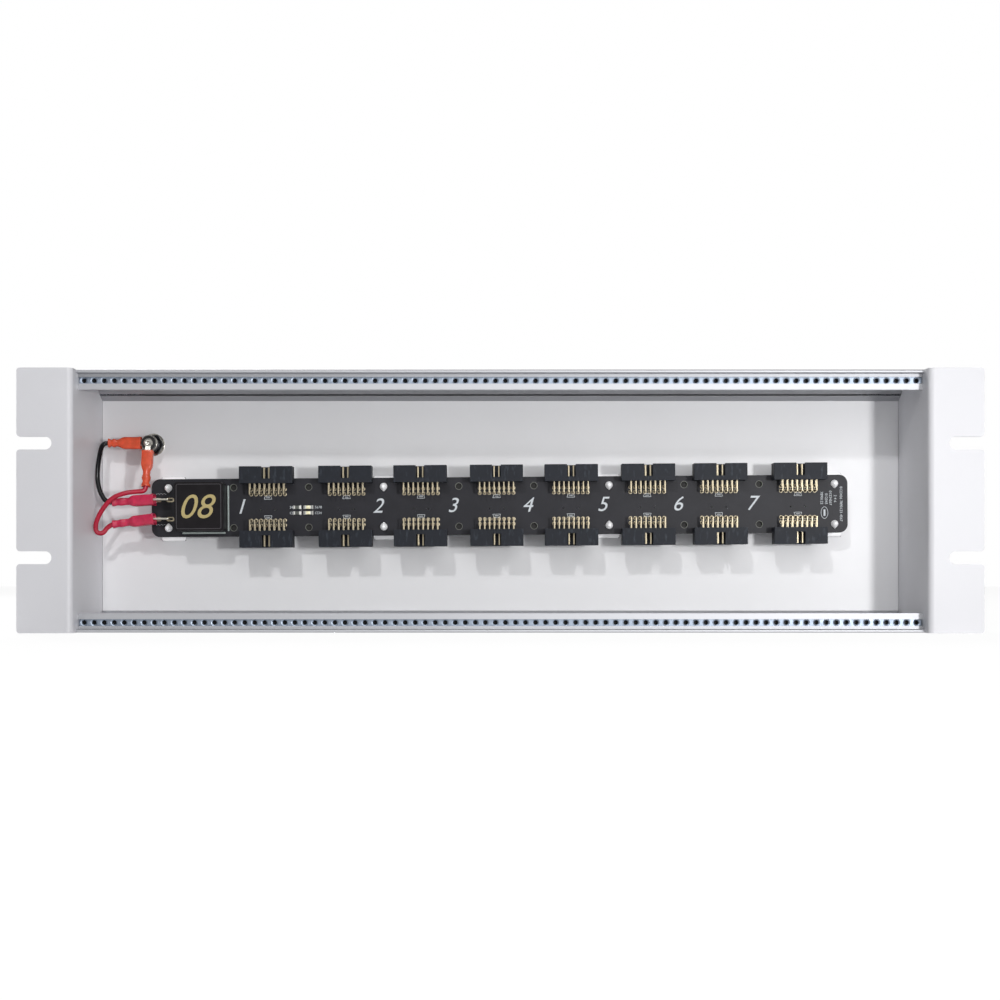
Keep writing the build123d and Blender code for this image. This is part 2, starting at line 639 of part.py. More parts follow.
side_mouth_x = JACK_X - SIDE_CRIMP_START
side_span = around(SIDE_LUG_DEPTH, LUG_THICKNESS)
side_contact = block((side_mouth_x - SIDE_LUG_LENGTH, JACK_X), side_span, around(JACK_Z, LUG_WIDTH))
side_contact += on_jack(JACK_CORE_RADIUS + SIDE_LUG_COLLAR, *side_span)
side_contact -= on_jack(JACK_CORE_RADIUS, *side_span)
side_mouth = Location((side_mouth_x, SIDE_LUG_DEPTH, JACK_Z), (90, 0, 0))
place_crimp("side_lug_crimp", side_mouth, SIDE_LUG_CRIMP, side_contact)

lug_frame = Location((JACK_X, rivet_front + LUG_THICKNESS / 2, JACK_Z), (-DOWN_LUG_TILT, 0, 0))
down_lug = block(around(0, LUG_WIDTH), around(0, LUG_THICKNESS), (-DOWN_LUG_LENGTH, 0))
centre_contact = centre_pin + (lug_frame * down_lug - core)
down_mouth = lug_frame * Location((0, 0, -DOWN_CRIMP_START), (0, -90, 0)) * Rot(90, 0, 0)
place_crimp("down_lug_crimp", down_mouth, DOWN_LUG_CRIMP, centre_contact)

save("jack_bush", [bush])
save("jack_nut", [nut])
save("jack_washer", [washer])
save("jack_core", [core])
save("jack_centre_contact", [centre_contact])
save("jack_side_contact", [side_contact])


def wire(name, points):
    """Sweep a wire along straight runs joined by tangent arcs."""
    route = [Vector(*point) for point in points]
    radii = []
    for before, corner, after in zip(route, route[1:], route[2:]):
        half_turn = math.radians((corner - before).get_angle(after - corner)) / 2
        shorter = min((corner - before).length, (after - corner).length)
        radii.append(ARC_SHARE * shorter / math.tan(half_turn))
    path = FilletPolyline(*route, radius=radii)
    solid = sweep(Plane(origin=path @ 0, z_dir=path % 0) * Circle(WIRE_RADIUS), path=path)
    print(name, "length", round(path.length, 1), "radii", [round(r, 2) for r in radii])
    print("  volume", round(solid.volume, 1),
          "section x length", round(math.pi * WIRE_RADIUS**2 * path.length, 1))
    placed = [ROW_FRAME.position + point for point in route]
    print("  points", [tuple(round(v, 2) for v in point) for point in placed])
    save(name, [solid])


def end_points(name, run):
    """A receptacle's wire end and the point a run further along its axis."""
    end = wire_ends[name]
    return [tuple(end.origin), tuple(end.origin - end.x_dir * run)]


wire("black_wire", [
    *end_points("side_lug_crimp", SIDE_LUG_EXIT),
    (-211.2, 45.6, 27.0),
    (-211.6, 42.8, 20.0),
    (-211.3, 40.6, 11.5),
    (-209.2, 40.3, 4.8),
    *reversed(end_points("negative_board_crimp", BOARD_EXIT)),
])
wire("red_wire", [
    *end_points("down_lug_crimp", DOWN_LUG_EXIT),
    (-191.2, 39.3, 6.5),
    (-197.0, 38.2, 5.6),
    (-203.3, 37.8, 3.0),
    (-208.6, 38.0, -3.6),
    (-211.2, 38.8, -9.8),
    (-210.8, 39.8, -14.8),
    (-207.0, 40.9, -15.0),
    *reversed(end_points("positive_board_crimp", BOARD_EXIT)),
])
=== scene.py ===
"""Modular synthesizer case: finishes, small trim, wires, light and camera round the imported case.

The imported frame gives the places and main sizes. Shapes are drawn in millimetres, and piece()
turns them into metres. Each operator below dresses one group of like pieces.
"""

import math

import bmesh
import bpy
from mathutils import Matrix, Vector


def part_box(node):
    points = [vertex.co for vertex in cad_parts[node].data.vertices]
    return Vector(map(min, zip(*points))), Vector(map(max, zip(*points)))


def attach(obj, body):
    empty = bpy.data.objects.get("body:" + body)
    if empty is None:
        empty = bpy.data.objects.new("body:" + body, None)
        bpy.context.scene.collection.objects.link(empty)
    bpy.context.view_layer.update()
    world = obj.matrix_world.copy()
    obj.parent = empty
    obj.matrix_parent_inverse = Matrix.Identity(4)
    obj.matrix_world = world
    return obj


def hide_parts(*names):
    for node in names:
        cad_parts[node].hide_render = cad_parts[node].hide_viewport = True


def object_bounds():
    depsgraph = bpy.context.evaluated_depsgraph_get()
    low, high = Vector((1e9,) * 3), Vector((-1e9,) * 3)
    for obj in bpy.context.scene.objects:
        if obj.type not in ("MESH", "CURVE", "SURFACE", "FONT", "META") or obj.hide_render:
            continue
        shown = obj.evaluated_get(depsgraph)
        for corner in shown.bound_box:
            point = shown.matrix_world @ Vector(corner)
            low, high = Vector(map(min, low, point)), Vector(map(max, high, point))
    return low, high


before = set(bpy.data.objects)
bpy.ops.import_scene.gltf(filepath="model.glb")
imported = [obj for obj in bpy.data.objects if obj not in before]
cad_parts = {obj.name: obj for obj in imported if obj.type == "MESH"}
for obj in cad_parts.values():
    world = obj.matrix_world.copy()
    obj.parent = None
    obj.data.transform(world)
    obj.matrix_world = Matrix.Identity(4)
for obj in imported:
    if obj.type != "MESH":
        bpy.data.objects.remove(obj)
cad_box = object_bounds()

bl_info = {
    "name": "Modular synthesizer case",
    "version": (1, 0, 0),
    "blender": (4, 5, 0),
    "location": "3D View > Sidebar > Case",
    "description": "Dresses the case, its rails, its bus board and its wiring",
    "category": "Object",
}

MM = 0.001
ROOT = "root"
HEADER_COUNT = 8
STEPS = 24
SLANT = 0.3
BEVEL_ANGLE = math.radians(50)
BOARD_TABS = ("negative_board_tab", "positive_board_tab")
# FACING turns local Z towards the viewer and local Y up.
FACING = Matrix(((1, 0, 0, 0), (0, 0, -1, 0), (0, 1, 0, 0), (0, 0, 0, 1)))
HALF_TURN = Matrix.Rotation(math.pi, 4, "Z")


def linear(hex_value):
    """Linear RGBA of an sRGB hex colour."""
    channels = [int(hex_value[k:k + 2], 16) / 255 for k in (0, 2, 4)]
    curve = [c / 12.92 if c <= 0.04045 else ((c + 0.055) / 1.055) ** 2.4 for c in channels]
    return (*curve, 1.0)


def length(name, millimetres, about):
    """A length property, given in millimetres and kept in metres."""
    return bpy.props.FloatProperty(
        name=name, description=about, default=millimetres * MM, min=0.0, precision=5,
        subtype="DISTANCE", unit="LENGTH",
    )


def colour(name, hex_value, about):
    """A colour property, given as an sRGB hex value."""
    return bpy.props.FloatVectorProperty(
        name=name, description=about, default=linear(hex_value), size=4, min=0.0, max=1.0,
        subtype="COLOR",
    )


class CaseSizes(bpy.types.PropertyGroup):
    """Sizes of the small trim."""

    edge: length("Sheet edge", 0.25, "Rounding of the steel sheet's edges")
    rail_edge: length("Rail edge", 0.15, "Rounding of the extrusions' edges")
    mould_edge: length("Moulded edge", 0.18, "Rounding of moulded housings")
    pin_edge: length("Pin edge", 0.07, "Rounding of the header pins")
    hole_pitch: length("Rail hole pitch", 5.08, "Distance between the tapped holes")
    tap_radius: length("Tapped hole", 1.25, "Radius of a tapped hole")
    countersink: length("Countersink", 1.85, "Radius of a tapped hole's countersink")
    thread_pitch: length("Screw pitch", 1.8, "Thread pitch of the rail screws")
    thread_radius: length("Screw thread", 2.7, "Crest radius of the rail screws")
    screw_length: length("Screw length", 27.8, "From under a rail screw's head to its point")
    head_radius: length("Screw head", 4.4, "Radius of a rail screw's pan head")
    head_height: length("Screw head height", 3.0, "Height of a rail screw's pan head")
    pad_radius: length("Header pad", 1.02, "Outer radius of a header's solder pad")
    pad_hole: length("Header pad hole", 0.55, "Radius of the hole in a solder pad")
    near_row: length("Near pad row", 6.9, "From the board's middle to the inner pad rows")
    far_row: length("Far pad row", 9.44, "From the board's middle to the outer pad rows")
    board_hole: length("Standoff hole", 1.65, "Radius of the board's standoff holes")
    ink: length("Print", 0.03, "Thickness of the board print")
    line: length("Print line", 0.22, "Width of a thin printed line")
    converter_line: length("Converter outline", 0.85, "Width of the lines beside the converter")
    digit: length("Position digit", 7.6, "Height of the large position digits")
    small_digit: length("Small digit", 1.35, "Height of the small digits")
    wire: length("Wire", 2.5, "Diameter of the supply wires")


class CaseColours(bpy.types.PropertyGroup):
    """Colours of the finishes."""

    # Painted light: the cover's coat is the side panels' coat painted lighter, for the brighter
    # light on the back wall.
    cover_coat: colour("Cover coat", "F1F1F3", "Satin white powder coat of the cover")
    powder_coat: colour("Powder coat", "E2E2E6", "Satin white powder coat")
    anodised: colour("Anodised aluminium", "BDBEC2", "Clear anodised rails")
    screw: colour("Screw zinc", "DDE2E8", "Bright zinc plate of the screws")
    zinc: colour("Zinc plate", "9AA5B4", "Blue passivated zinc plate")
    solder_mask: colour("Solder mask", "2B2B30", "Black solder mask")
    board_edge: colour("Board edge", "8E9A86", "Cut edge of the glass-epoxy board")
    laminate: colour("Laminate", "6A6B66", "Bare laminate round the board's holes")
    header: colour("Header nylon", "24272E", "Moulded header housings")
    # The pale tone is the housings' scuffs, and also a painted highlight along their edges.
    scuff: colour("Scuffs", "444B54", "Rubbed spots and edges of the housings")
    gold: colour("Gold plate", "B5AA92", "Flash gold on pins and pads")
    tin: colour("Tin plate", "DAD6CB", "Tin on tabs and contacts")
    solder: colour("Solder", "E4E4E0", "Solder on the chips' ends")
    # Painted shade: the hole colour is the dark that shade makes inside holes, put on the discs and
    # slots that close them.
    hole: colour("Hole", "0E0D0C", "Dark inside of a plated hole")
    print_ink: colour("Board print", "DDE3E8", "White epoxy ink")
    # Colour of the two pale lines drawn flat on the board beside the converter.
    pale_ink: colour("Pale print", "B4C0BC", "Greenish ink beside the converter")
    converter: colour("Converter", "181518", "Moulded converter case")
    # Painted highlight: the lighter colour of the line round the converter's lid.
    converter_rim: colour("Converter rim", "5C5A5E", "Edge of the converter's lid")
    gilt: colour("Gilt print", "C8B67C", "Gold ink on the converter")
    crimson: colour("Crimson vinyl", "E0365F", "Receptacle sleeves at the board")
    orange: colour("Orange-red vinyl", "F0603C", "Receptacle sleeves at the jack")
    red_wire: colour("Red insulation", "B40C32", "Positive supply wire")
    black_wire: colour("Black insulation", "0D0D10", "Negative supply wire")
    nylon: colour("White nylon", "F4F4F6", "Snap-in standoffs")
    foam: colour("Foam tape", "A2A2A4", "Adhesive foam under the standoffs")
    led: colour("LED resin", "FFF8D0", "Diffused resin of the indicator LEDs")
    resistor: colour("Resistor", "5A5E58", "Glazed body of the chip resistors")
    nickel: colour("Nickel plate", "D2CFC7", "Jack, nut and washer")
    black_nickel: colour("Black nickel", "3E3F42", "Dark plating of the jack's bush and nut")
    phenolic: colour("Phenolic", "1A1A1C", "Black moulded core of the jack")


def size(name):
    """One of the case's sizes, in millimetres."""
    return getattr(bpy.context.scene.case_sizes, name) / MM


def tone(name):
    """One of the case's colours, as linear RGBA."""
    return tuple(getattr(bpy.context.scene.case_colours, name))


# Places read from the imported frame, in millimetres

def corners(node):
    """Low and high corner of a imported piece's box."""
    low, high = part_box(node)
    return low / MM, high / MM


def middle(node):
    """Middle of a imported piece's box."""
    low, high = corners(node)
    return (low + high) / 2


def find_board():
    """Matrix of the bus board: origin at the middle of its front face, local Z up its height."""
    low, high = corners("bus_board")
    first = middle("upper_header_housing_1")
    last = middle(f"upper_header_housing_{HEADER_COUNT}")
    tilt = math.atan2(last.z - first.z, last.x - first.x)
    origin = Vector(((low.x + high.x) / 2, low.y, (low.z + high.z) / 2))
    return Matrix.Translation(origin) @ Matrix.Rotation(-tilt, 4, "Y")


BOARD = find_board()


def case_points(node):
    """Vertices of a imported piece."""
    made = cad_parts[node]
    return [made.matrix_world @ vertex.co / MM for vertex in made.data.vertices]


def board_points(node):
    """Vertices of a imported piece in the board's frame."""
    back = BOARD.inverted()
    return [back @ point for point in case_points(node)]


def reach_of(node):
    """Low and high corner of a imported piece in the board's frame."""
    points = board_points(node)
    return [Vector([end(point[k] for point in points) for k in range(3)]) for end in (min, max)]


def runs(values, gap):
    """Middles of the runs of values that lie closer together than gap."""
    ordered = sorted(values)
    groups = [[ordered[0]]]
    for value in ordered[1:]:
        if value - groups[-1][-1] > gap:
            groups.append([])
        groups[-1].append(value)
    return [(group[0] + group[-1]) / 2 for group in groups]


def on_board(x, z, lift=0.0):
    """Matrix of a spot on the board's front: local Z out of the board, local Y up its height."""
    return BOARD @ Matrix.Translation((x, -lift, z)) @ FACING


def board_runs(node, axis, gap):
    """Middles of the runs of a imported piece's vertices along one axis of the board's frame."""
    return runs([getattr(point, axis) for point in board_points(node)], gap)


def header_columns():
    """Middles of the headers along the board."""
    nodes = [f"upper_header_housing_{number}" for number in range(1, HEADER_COUNT + 1)]
    return [(BOARD.inverted() @ middle(node)).x for node in nodes]


# Shapes: a list of points and a list of faces

def circle(radius, height, steps=STEPS):
    """A loop of points round local Z."""
    turns = [2 * math.pi * k / steps for k in range(steps)]
    return [Vector((radius * math.cos(t), radius * math.sin(t), height)) for t in turns]


def rounded(width, height, corner, level=0.0):
    """A loop round a rectangle with rounded corners."""
    arc = 4
    loop = []
    for quarter, (side_x, side_y) in enumerate(((1, 1), (-1, 1), (-1, -1), (1, -1))):
        centre = Vector((side_x * (width / 2 - corner), side_y * (height / 2 - corner), level))
        for k in range(arc + 1):
            turn = math.pi / 2 * (quarter + k / arc)
            loop.append(centre + corner * Vector((math.cos(turn), math.sin(turn), 0)))
    return loop


def skin(loops, cap_start=False, cap_end=False):
    """Faces between loops that have the same number of points."""
    count = len(loops[0])
    points = [point for loop in loops for point in loop]
    faces = []
    for row in range(len(loops) - 1):
        here = row * count
        for k in range(count):
            after = (k + 1) % count
            faces.append((here + k, here + after, here + count + after, here + count + k))
    if cap_start:
        faces.append(tuple(reversed(range(count))))
    if cap_end:
        faces.append(tuple(range(len(points) - count, len(points))))
    return points, faces


def turned(profile, cap_start=False, cap_end=False, steps=STEPS):
    """A shape turned round local Z from (radius, height) pairs."""
    return skin([circle(radius, height, steps) for radius, height in profile], cap_start, cap_end)


def moved(shape, matrix):
    """A shape moved by a matrix."""
    points, faces = shape
    return [matrix @ point for point in points], faces


def joined(shapes):
    """Several shapes as one."""
    points = []
    faces = []
    for shape_points, shape_faces in shapes:
        start = len(points)
        points += shape_points
        faces += [tuple(start + k for k in face) for face in shape_faces]
    return points, faces


def copies(shape, spots):
    """One shape repeated at each of several matrices."""
    return joined([moved(shape, spot) for spot in spots])


def filled(loop):
    """A flat shape that fills one loop."""
    return loop, [tuple(range(len(loop)))]


def plate(width, height, corner, low, high):
    """A rounded plate between two levels, with no underside."""
    return skin([rounded(width, height, corner, level) for level in (low, high)], cap_end=True)


def ribbon(route, width, closed=False):
    """A flat line of one width along (x, y) points, mitred at its corners."""
    places = [Vector((x, y, 0)) for x, y in route]
    count = len(places)
    up = Vector((0, 0, 1))
    left = []
    right = []
    for k, spot in enumerate(places):
        arriving = spot - places[k - 1]
        leaving = places[(k + 1) % count] - spot
        if not closed and k == 0:
            arriving = leaving
        if not closed and k == count - 1:
            leaving = arriving
        arriving.normalize()
        leaving.normalize()
        across = (arriving + leaving).normalized().cross(up)
        half = width / 2 / max(0.3, across.dot(arriving.cross(up)))
        left.append(spot - across * half)
        right.append(spot + across * half)
    faces = []
    for k in range(count if closed else count - 1):
        after = (k + 1) % count
        faces.append((k, count + k, count + after, after))
    return left + right, faces


def put(name, data):
    """A new object in the scene."""
    made = bpy.data.objects.new(name, data)
    bpy.context.scene.collection.objects.link(made)
    return made


def letters(text, height, slant=0.0):
    """Plain digits as a flat shape of one height, centred on the origin."""
    curve = bpy.data.curves.new(text, "FONT")
    curve.body = text
    curve.shear = slant
    curve.resolution_u = 4
    holder = put(text, curve)
    ready = holder.evaluated_get(bpy.context.evaluated_depsgraph_get())
    mesh = bpy.data.meshes.new_from_object(ready)
    points = [vertex.co.copy() for vertex in mesh.vertices]
    faces = [tuple(polygon.vertices) for polygon in mesh.polygons]
    bpy.data.objects.remove(holder)
    bpy.data.curves.remove(curve)
    bpy.data.meshes.remove(mesh)
    left, right = [end(point.x for point in points) for end in (min, max)]
    low, high = [end(point.y for point in points) for end in (min, max)]
    centre = Vector(((left + right) / 2, (low + high) / 2, 0))
    scale = height / (high - low)
    return [(point - centre) * scale for point in points], faces


def thread(crest, root, pitch, low, high, point=0.0, steps=16):
    """Loops of a screw thread round local Z, growing from a point over its first stretch."""
    slices_per_turn = 8
    tip_share = 0.1
    flank_share = 0.24
    count = math.ceil((high - low) / pitch * slices_per_turn)
    loops = []
    for k in range(count + 1):
        height = low + (high - low) * k / count
        taper = min(1.0, tip_share + (height - low) / point) if point else 1.0
        loop = []
        for j in range(steps):
            turn = 2 * math.pi * j / steps
            phase = (height / pitch - j / steps) % 1
            flank = max(0.0, 1 - abs(phase - 0.5) / flank_share)
            radius = taper * (root + (crest - root) * flank)
            loop.append(Vector((radius * math.cos(turn), radius * math.sin(turn), height)))
        loops.append(loop)
    return loops


def cross_recess(radius, reach, half, depth, height):
    """A round face with a cross recess: each corner of the cross meets every other rim point."""
    count = STEPS // 2
    floor_share = 0.55
    rim = circle(radius, height)
    # Each arm is the arm before it, turned by a quarter.
    outline = [(reach, -half), (reach, half), (half, half)]
    while len(outline) < count:
        x, y = outline[-3]
        outline.append((-y, x))
    mouth = [Vector((x, y, height)) for x, y in outline]
    floor = [Vector((floor_share * x, floor_share * y, height - depth)) for x, y in outline]
    faces = [tuple(STEPS + count + k for k in range(count))]
    for k in range(count):
        after = (k + 1) % count
        outer = [(2 * k - 1 + step) % STEPS for step in range(3)]
        faces.append((*outer, STEPS + after, STEPS + k))
        faces.append((STEPS + k, STEPS + after, STEPS + count + after, STEPS + count + k))
    return rim + mouth + floor, faces


def piece(name, shape, material, replaces=None, edge=0.0, smooth=35.0):
    """A mesh piece that rides on the case; its points are given in millimetres."""
    points, faces = shape
    mesh = bpy.data.meshes.new(name)
    mesh.from_pydata([tuple(point * MM) for point in points], [], faces)
    work = bmesh.new()
    work.from_mesh(mesh)
    bmesh.ops.recalc_face_normals(work, faces=work.faces)
    work.to_mesh(mesh)
    work.free()
    mesh.shade_smooth()
    mesh.set_sharp_from_angle(angle=math.radians(smooth))
    mesh.materials.append(material)
    made = put(name, mesh)
    if edge:
        round_edges(made, edge)
    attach(made, ROOT)
    if replaces:
        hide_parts(replaces)
    return made


def round_edges(made, edge, segments=2):
    """Round a piece's sharp edges by edge millimetres."""
    rounding = made.modifiers.new("edge", "BEVEL")
    rounding.width = edge * MM
    rounding.segments = segments
    rounding.limit_method = "ANGLE"
    rounding.angle_limit = BEVEL_ANGLE
    made.modifiers.new("normals", "WEIGHTED_NORMAL").keep_sharp = True


def dress(node, material, edge=0.0, segments=2):
    """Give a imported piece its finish, and round its edges where edge is given."""
    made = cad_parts[node]
    for slot in made.material_slots:
        slot.material = material
    if edge:
        weld = made.modifiers.new("weld", "WELD")
        weld.merge_threshold = 1e-6
        round_edges(made, edge, segments)


# Materials

def shade_of(rgba, factor):
    """The same colour, darker or lighter."""
    return (*[min(1.0, channel * factor) for channel in rgba[:3]], 1.0)


def add(tree, kind, links=None, **settings):
    """A shader node with its settings and input links."""
    node = tree.nodes.new(kind)
    for key, value in settings.items():
        if key in node.inputs:
            node.inputs[key].default_value = value
        else:
            setattr(node, key, value)
    for key, source in (links or {}).items():
        tree.links.new(source, node.inputs[key])
    return node


def empty_tree(owner):
    """The node tree of a material or a world, with no nodes in it."""
    owner.use_nodes = True
    owner.node_tree.nodes.clear()
    return owner.node_tree


def start_material(name, specular=0.5, **settings):
    """A new material and its node tree, with a Principled shader at its output."""
    material = bpy.data.materials.new(name)
    tree = empty_tree(material)
    settings["Specular IOR Level"] = specular
    shader = add(tree, "ShaderNodeBsdfPrincipled", **settings)
    add(tree, "ShaderNodeOutputMaterial", {"Surface": shader.outputs[0]})
    return material, tree


def glowing(hue, strength):
    """Settings of a painted glow: the shader gives off a little light of its own colour."""
    return {"Emission Color": tone(hue), "Emission Strength": strength}


def feed(tree, key, source):
    """Link a value or a colour to one of the Principled shader's inputs."""
    tree.links.new(source, tree.nodes["Principled BSDF"].inputs[key])


def noise(tree, grain, detail=3.0, stretch=(1, 1, 1)):
    """Noise whose features are about as large as grain, in millimetres."""
    coordinates = add(tree, "ShaderNodeTexCoord").outputs["Object"]
    place = add(tree, "ShaderNodeMapping", {"Vector": coordinates}, Scale=stretch).outputs[0]
    return add(
        tree, "ShaderNodeTexNoise", {"Vector": place}, Scale=1 / (grain * MM), Detail=detail
    ).outputs["Fac"]


def spread(tree, value, low, high, start=0.0, end=1.0):
    """A value moved from one range to another."""
    return add(
        tree, "ShaderNodeMapRange", {"Value": value},
        **{"From Min": start, "From Max": end, "To Min": low, "To Max": high},
    ).outputs[0]


def mixed(tree, value, first, second):
    """A colour between two, by a value."""
    node = add(tree, "ShaderNodeMix", data_type="RGBA")
    tree.links.new(value, node.inputs[0])
    for socket, source in ((node.inputs[6], first), (node.inputs[7], second)):
        if isinstance(source, tuple):
            socket.default_value = source
        else:
            tree.links.new(source, socket)
    return node.outputs[2]


def drifting(tree, base, grain, dark, light):
    """A colour that drifts a little round one colour, and the value that it drifts with."""
    drift = spread(tree, noise(tree, grain), 0, 1, start=0.3, end=0.7)
    return mixed(tree, drift, shade_of(base, dark), shade_of(base, light)), drift


def paint(tree, hue, grain, dark=0.88, light=1.08):
    """Base colour that drifts a little round one of the case's colours."""
    film, drift = drifting(tree, tone(hue), grain, dark, light)
    feed(tree, "Base Color", film)
    return drift


def relief(tree, height, depth):
    """Bump from a height value, depth in millimetres."""
    node = add(tree, "ShaderNodeBump", {"Height": height}, Strength=1.0, Distance=depth * MM)
    feed(tree, "Normal", node.outputs[0])


def powder_coated_steel(name, hue):
    """Powder coat: a satin film whose faint orange peel breaks up each highlight."""
    material, tree = start_material(name, Roughness=0.42, IOR=1.5)
    paint(tree, hue, grain=60.0, dark=0.975, light=1.0)
    # The real peel is about 0.6 mm across and is drawn at 1.1 mm, so that it shows.
    relief(tree, noise(tree, grain=1.1, detail=2.0), depth=0.012)
    return material


def anodised_aluminium():
    """Etched and anodised extrusion: fine die lines along X draw each highlight into a streak."""
    material, tree = start_material("anodised_aluminium", Metallic=1.0)
    base = tone("anodised")
    lines = noise(tree, grain=0.45, detail=4.0, stretch=(0.004, 1, 1))
    feed(tree, "Base Color", mixed(tree, lines, shade_of(base, 0.86), base))
    feed(tree, "Roughness", spread(tree, lines, 0.48, 0.62))
    relief(tree, lines, depth=0.012)
    return material


def plated(name, hue, rough, grain=2.0):
    """Plated metal: bright, with a soft cloudy sheen from the bath."""
    material, tree = start_material(name, Metallic=1.0)
    cloud = paint(tree, hue, grain, dark=0.8, light=1.0)
    feed(tree, "Roughness", spread(tree, cloud, rough, rough + 0.14))
    relief(tree, noise(tree, grain / 5, detail=2.0), depth=0.004)
    return material


def solder_mask():
    """Glass epoxy under black mask: a dark satin film, with the pale cut edge of the board."""
    material, tree = start_material("solder_mask", specular=0.18, Roughness=0.45, IOR=1.52)
    film = drifting(tree, tone("solder_mask"), grain=9.0, dark=0.9, light=1.12)[0]
    normal = add(tree, "ShaderNodeTexCoord").outputs["Normal"]
    facing = add(tree, "ShaderNodeSeparateXYZ", {"Vector": normal}).outputs["Y"]
    flat = add(tree, "ShaderNodeMath", {0: facing}, operation="ABSOLUTE").outputs[0]
    flat = spread(tree, flat, 0, 1, start=0.5, end=0.6)
    feed(tree, "Base Color", mixed(tree, flat, tone("board_edge"), film))
    relief(tree, noise(tree, grain=0.9, detail=2.0), depth=0.006)
    return material


def moulded(name, hue, rough, grain=0.35, depth=0.01, **settings):
    """Moulded polymer: one colour, with the fine spark-eroded texture of its tool."""
    material, tree = start_material(name, IOR=1.5, **settings)
    cloud = paint(tree, hue, grain=5.0)
    feed(tree, "Roughness", spread(tree, cloud, rough, rough + 0.1))
    relief(tree, noise(tree, grain, detail=2.0), depth)
    return material


def hole_inside(name):
    """Painted shade for the dark inside of the holes in the board, its pads and the strips."""
    return moulded(name, "hole", rough=0.6)


def header_nylon():
    """Glass-filled nylon: bluish black, with pale slanting scuffs, and painted highlights in the
    same pale tone along its edges.
    """
    material, tree = start_material("header_nylon", specular=0.18, IOR=1.5)
    base = tone("header")
    scuff_and_highlight_tone = tone("scuff")
    cloud = noise(tree, grain=4.0, detail=4.0)
    scuffs = noise(tree, grain=1.6, detail=5.0, stretch=(1, 1, 0.35))
    marks = spread(tree, scuffs, 0, 0.6, start=0.56, end=0.75)
    # Painted highlight: the edges turn pale where the rounded normal leaves the true one; the
    # slanting scuffs are the housings' own wear.
    rim = add(tree, "ShaderNodeBevel", samples=4, Radius=0.35 * MM).outputs[0]
    straight = add(tree, "ShaderNodeNewGeometry").outputs["Normal"]
    alike = add(tree, "ShaderNodeVectorMath", {0: rim, 1: straight}, operation="DOT_PRODUCT")
    painted_edge_highlight = spread(tree, alike.outputs["Value"], 0.75, 0, start=0.75, end=0.97)
    film = mixed(tree, cloud, shade_of(base, 0.8), shade_of(base, 1.2))
    for share in (marks, painted_edge_highlight):
        film = mixed(tree, share, film, scuff_and_highlight_tone)
    feed(tree, "Base Color", film)
    feed(tree, "Roughness", spread(tree, cloud, 0.42, 0.6))
    relief(tree, noise(tree, grain=0.3, detail=3.0), depth=0.012)
    return material


def vinyl(name, hue):
    """Translucent vinyl sleeve: glossy, and it lets a little coloured light through."""
    clear_share = 0.22
    inside = {
        "Subsurface Weight": 0.3, "Subsurface Scale": 1.5 * MM, "Subsurface Radius": (1, 0.3, 0.2)
    }
    material, tree = start_material(name, Roughness=0.26, IOR=1.53, **inside)
    paint(tree, hue, grain=2.5, dark=0.85, light=1.12)
    relief(tree, noise(tree, grain=1.4, detail=2.0), depth=0.03)
    solid = tree.nodes["Principled BSDF"].outputs[0]
    clear = add(tree, "ShaderNodeBsdfTransparent", Color=tone(hue)).outputs[0]
    film = add(tree, "ShaderNodeMixShader", {1: solid, 2: clear}, Fac=clear_share)
    tree.links.new(film.outputs[0], tree.nodes["Material Output"].inputs["Surface"])
    return material


def ink(name, hue):
    """Screen-printed epoxy ink: matt, and a little uneven at the scale of the screen."""
    material, tree = start_material(name, Roughness=0.6)
    paint(tree, hue, grain=0.4, dark=0.8, light=1.0)
    relief(tree, noise(tree, grain=0.25, detail=2.0), depth=0.004)
    return material


def led_resin():
    """Diffused epoxy over a phosphor: pale yellow, with a faint painted glow of its own colour."""
    glow = glowing("led", strength=0.12)
    material, tree = start_material("led_resin", Roughness=0.2, IOR=1.54, **glow)
    paint(tree, "led", grain=0.8, dark=0.92, light=1.0)
    return material


# Steel shell and screws

# Points this near to a face lie on it, and screws lie further apart than the gap.
SAME_FACE = 0.01
SCREW_GAP = 2.0


def pan_screw():
    """A self-tapping screw with a cross-recessed pan head that stands on local Z = 0."""
    crest = size("thread_radius")
    head = size("head_radius")
    top = size("head_height")
    flat = 0.6 * head
    root = 0.62 * crest
    shaft = thread(crest, root, size("thread_pitch"), -size("screw_length"), 0.0, point=5.0)
    dome = turned([
        (0.5 * head, 0.0), (0.97 * head, 0.0), (head, 0.1 * top), (head, 0.42 * top),
        (0.93 * head, 0.7 * top), (0.79 * head, 0.92 * top), (flat, top),
    ])
    recess = cross_recess(flat, reach=2.2, half=0.5, depth=1.6, height=top)
    return joined([skin(shaft, cap_start=True), dome, recess])


def countersunk_screw():
    """A countersunk machine screw whose recessed head lies flush with local Z = 0."""
    body = turned([(1.5, -5.0), (1.5, -1.3), (2.8, -0.08), (2.7, 0.0)], cap_start=True)
    return joined([body, cross_recess(2.7, reach=1.5, half=0.32, depth=0.9, height=0.0)])


def screw_places(node, face_axis, face, axis):
    """Depth, and place along another axis, of each screw whose head lies on one face."""
    ends = [
        point for point in case_points(node) if abs(getattr(point, face_axis) - face) < SAME_FACE
    ]
    places = []
    for depth in runs([point.y for point in ends], SCREW_GAP):
        near = [point for point in ends if abs(point.y - depth) < size("head_radius")]
        for place in runs([getattr(point, axis) for point in near], SCREW_GAP):
            places.append((depth, place))
    return places


def rail_screw_frames():
    """Matrices of the rail screws: local Z out of the side panel, starting under the head."""
    face = corners("rail_screws")[1].x
    under = face - size("head_height")
    frames = []
    for depth, height in screw_places("rail_screws", "x", face, "z"):
        for side in (-1, 1):
            spot = Matrix.Translation((side * under, depth, height))
            frames.append(spot @ Matrix.Rotation(side * math.pi / 2, 4, "Y"))
    return frames


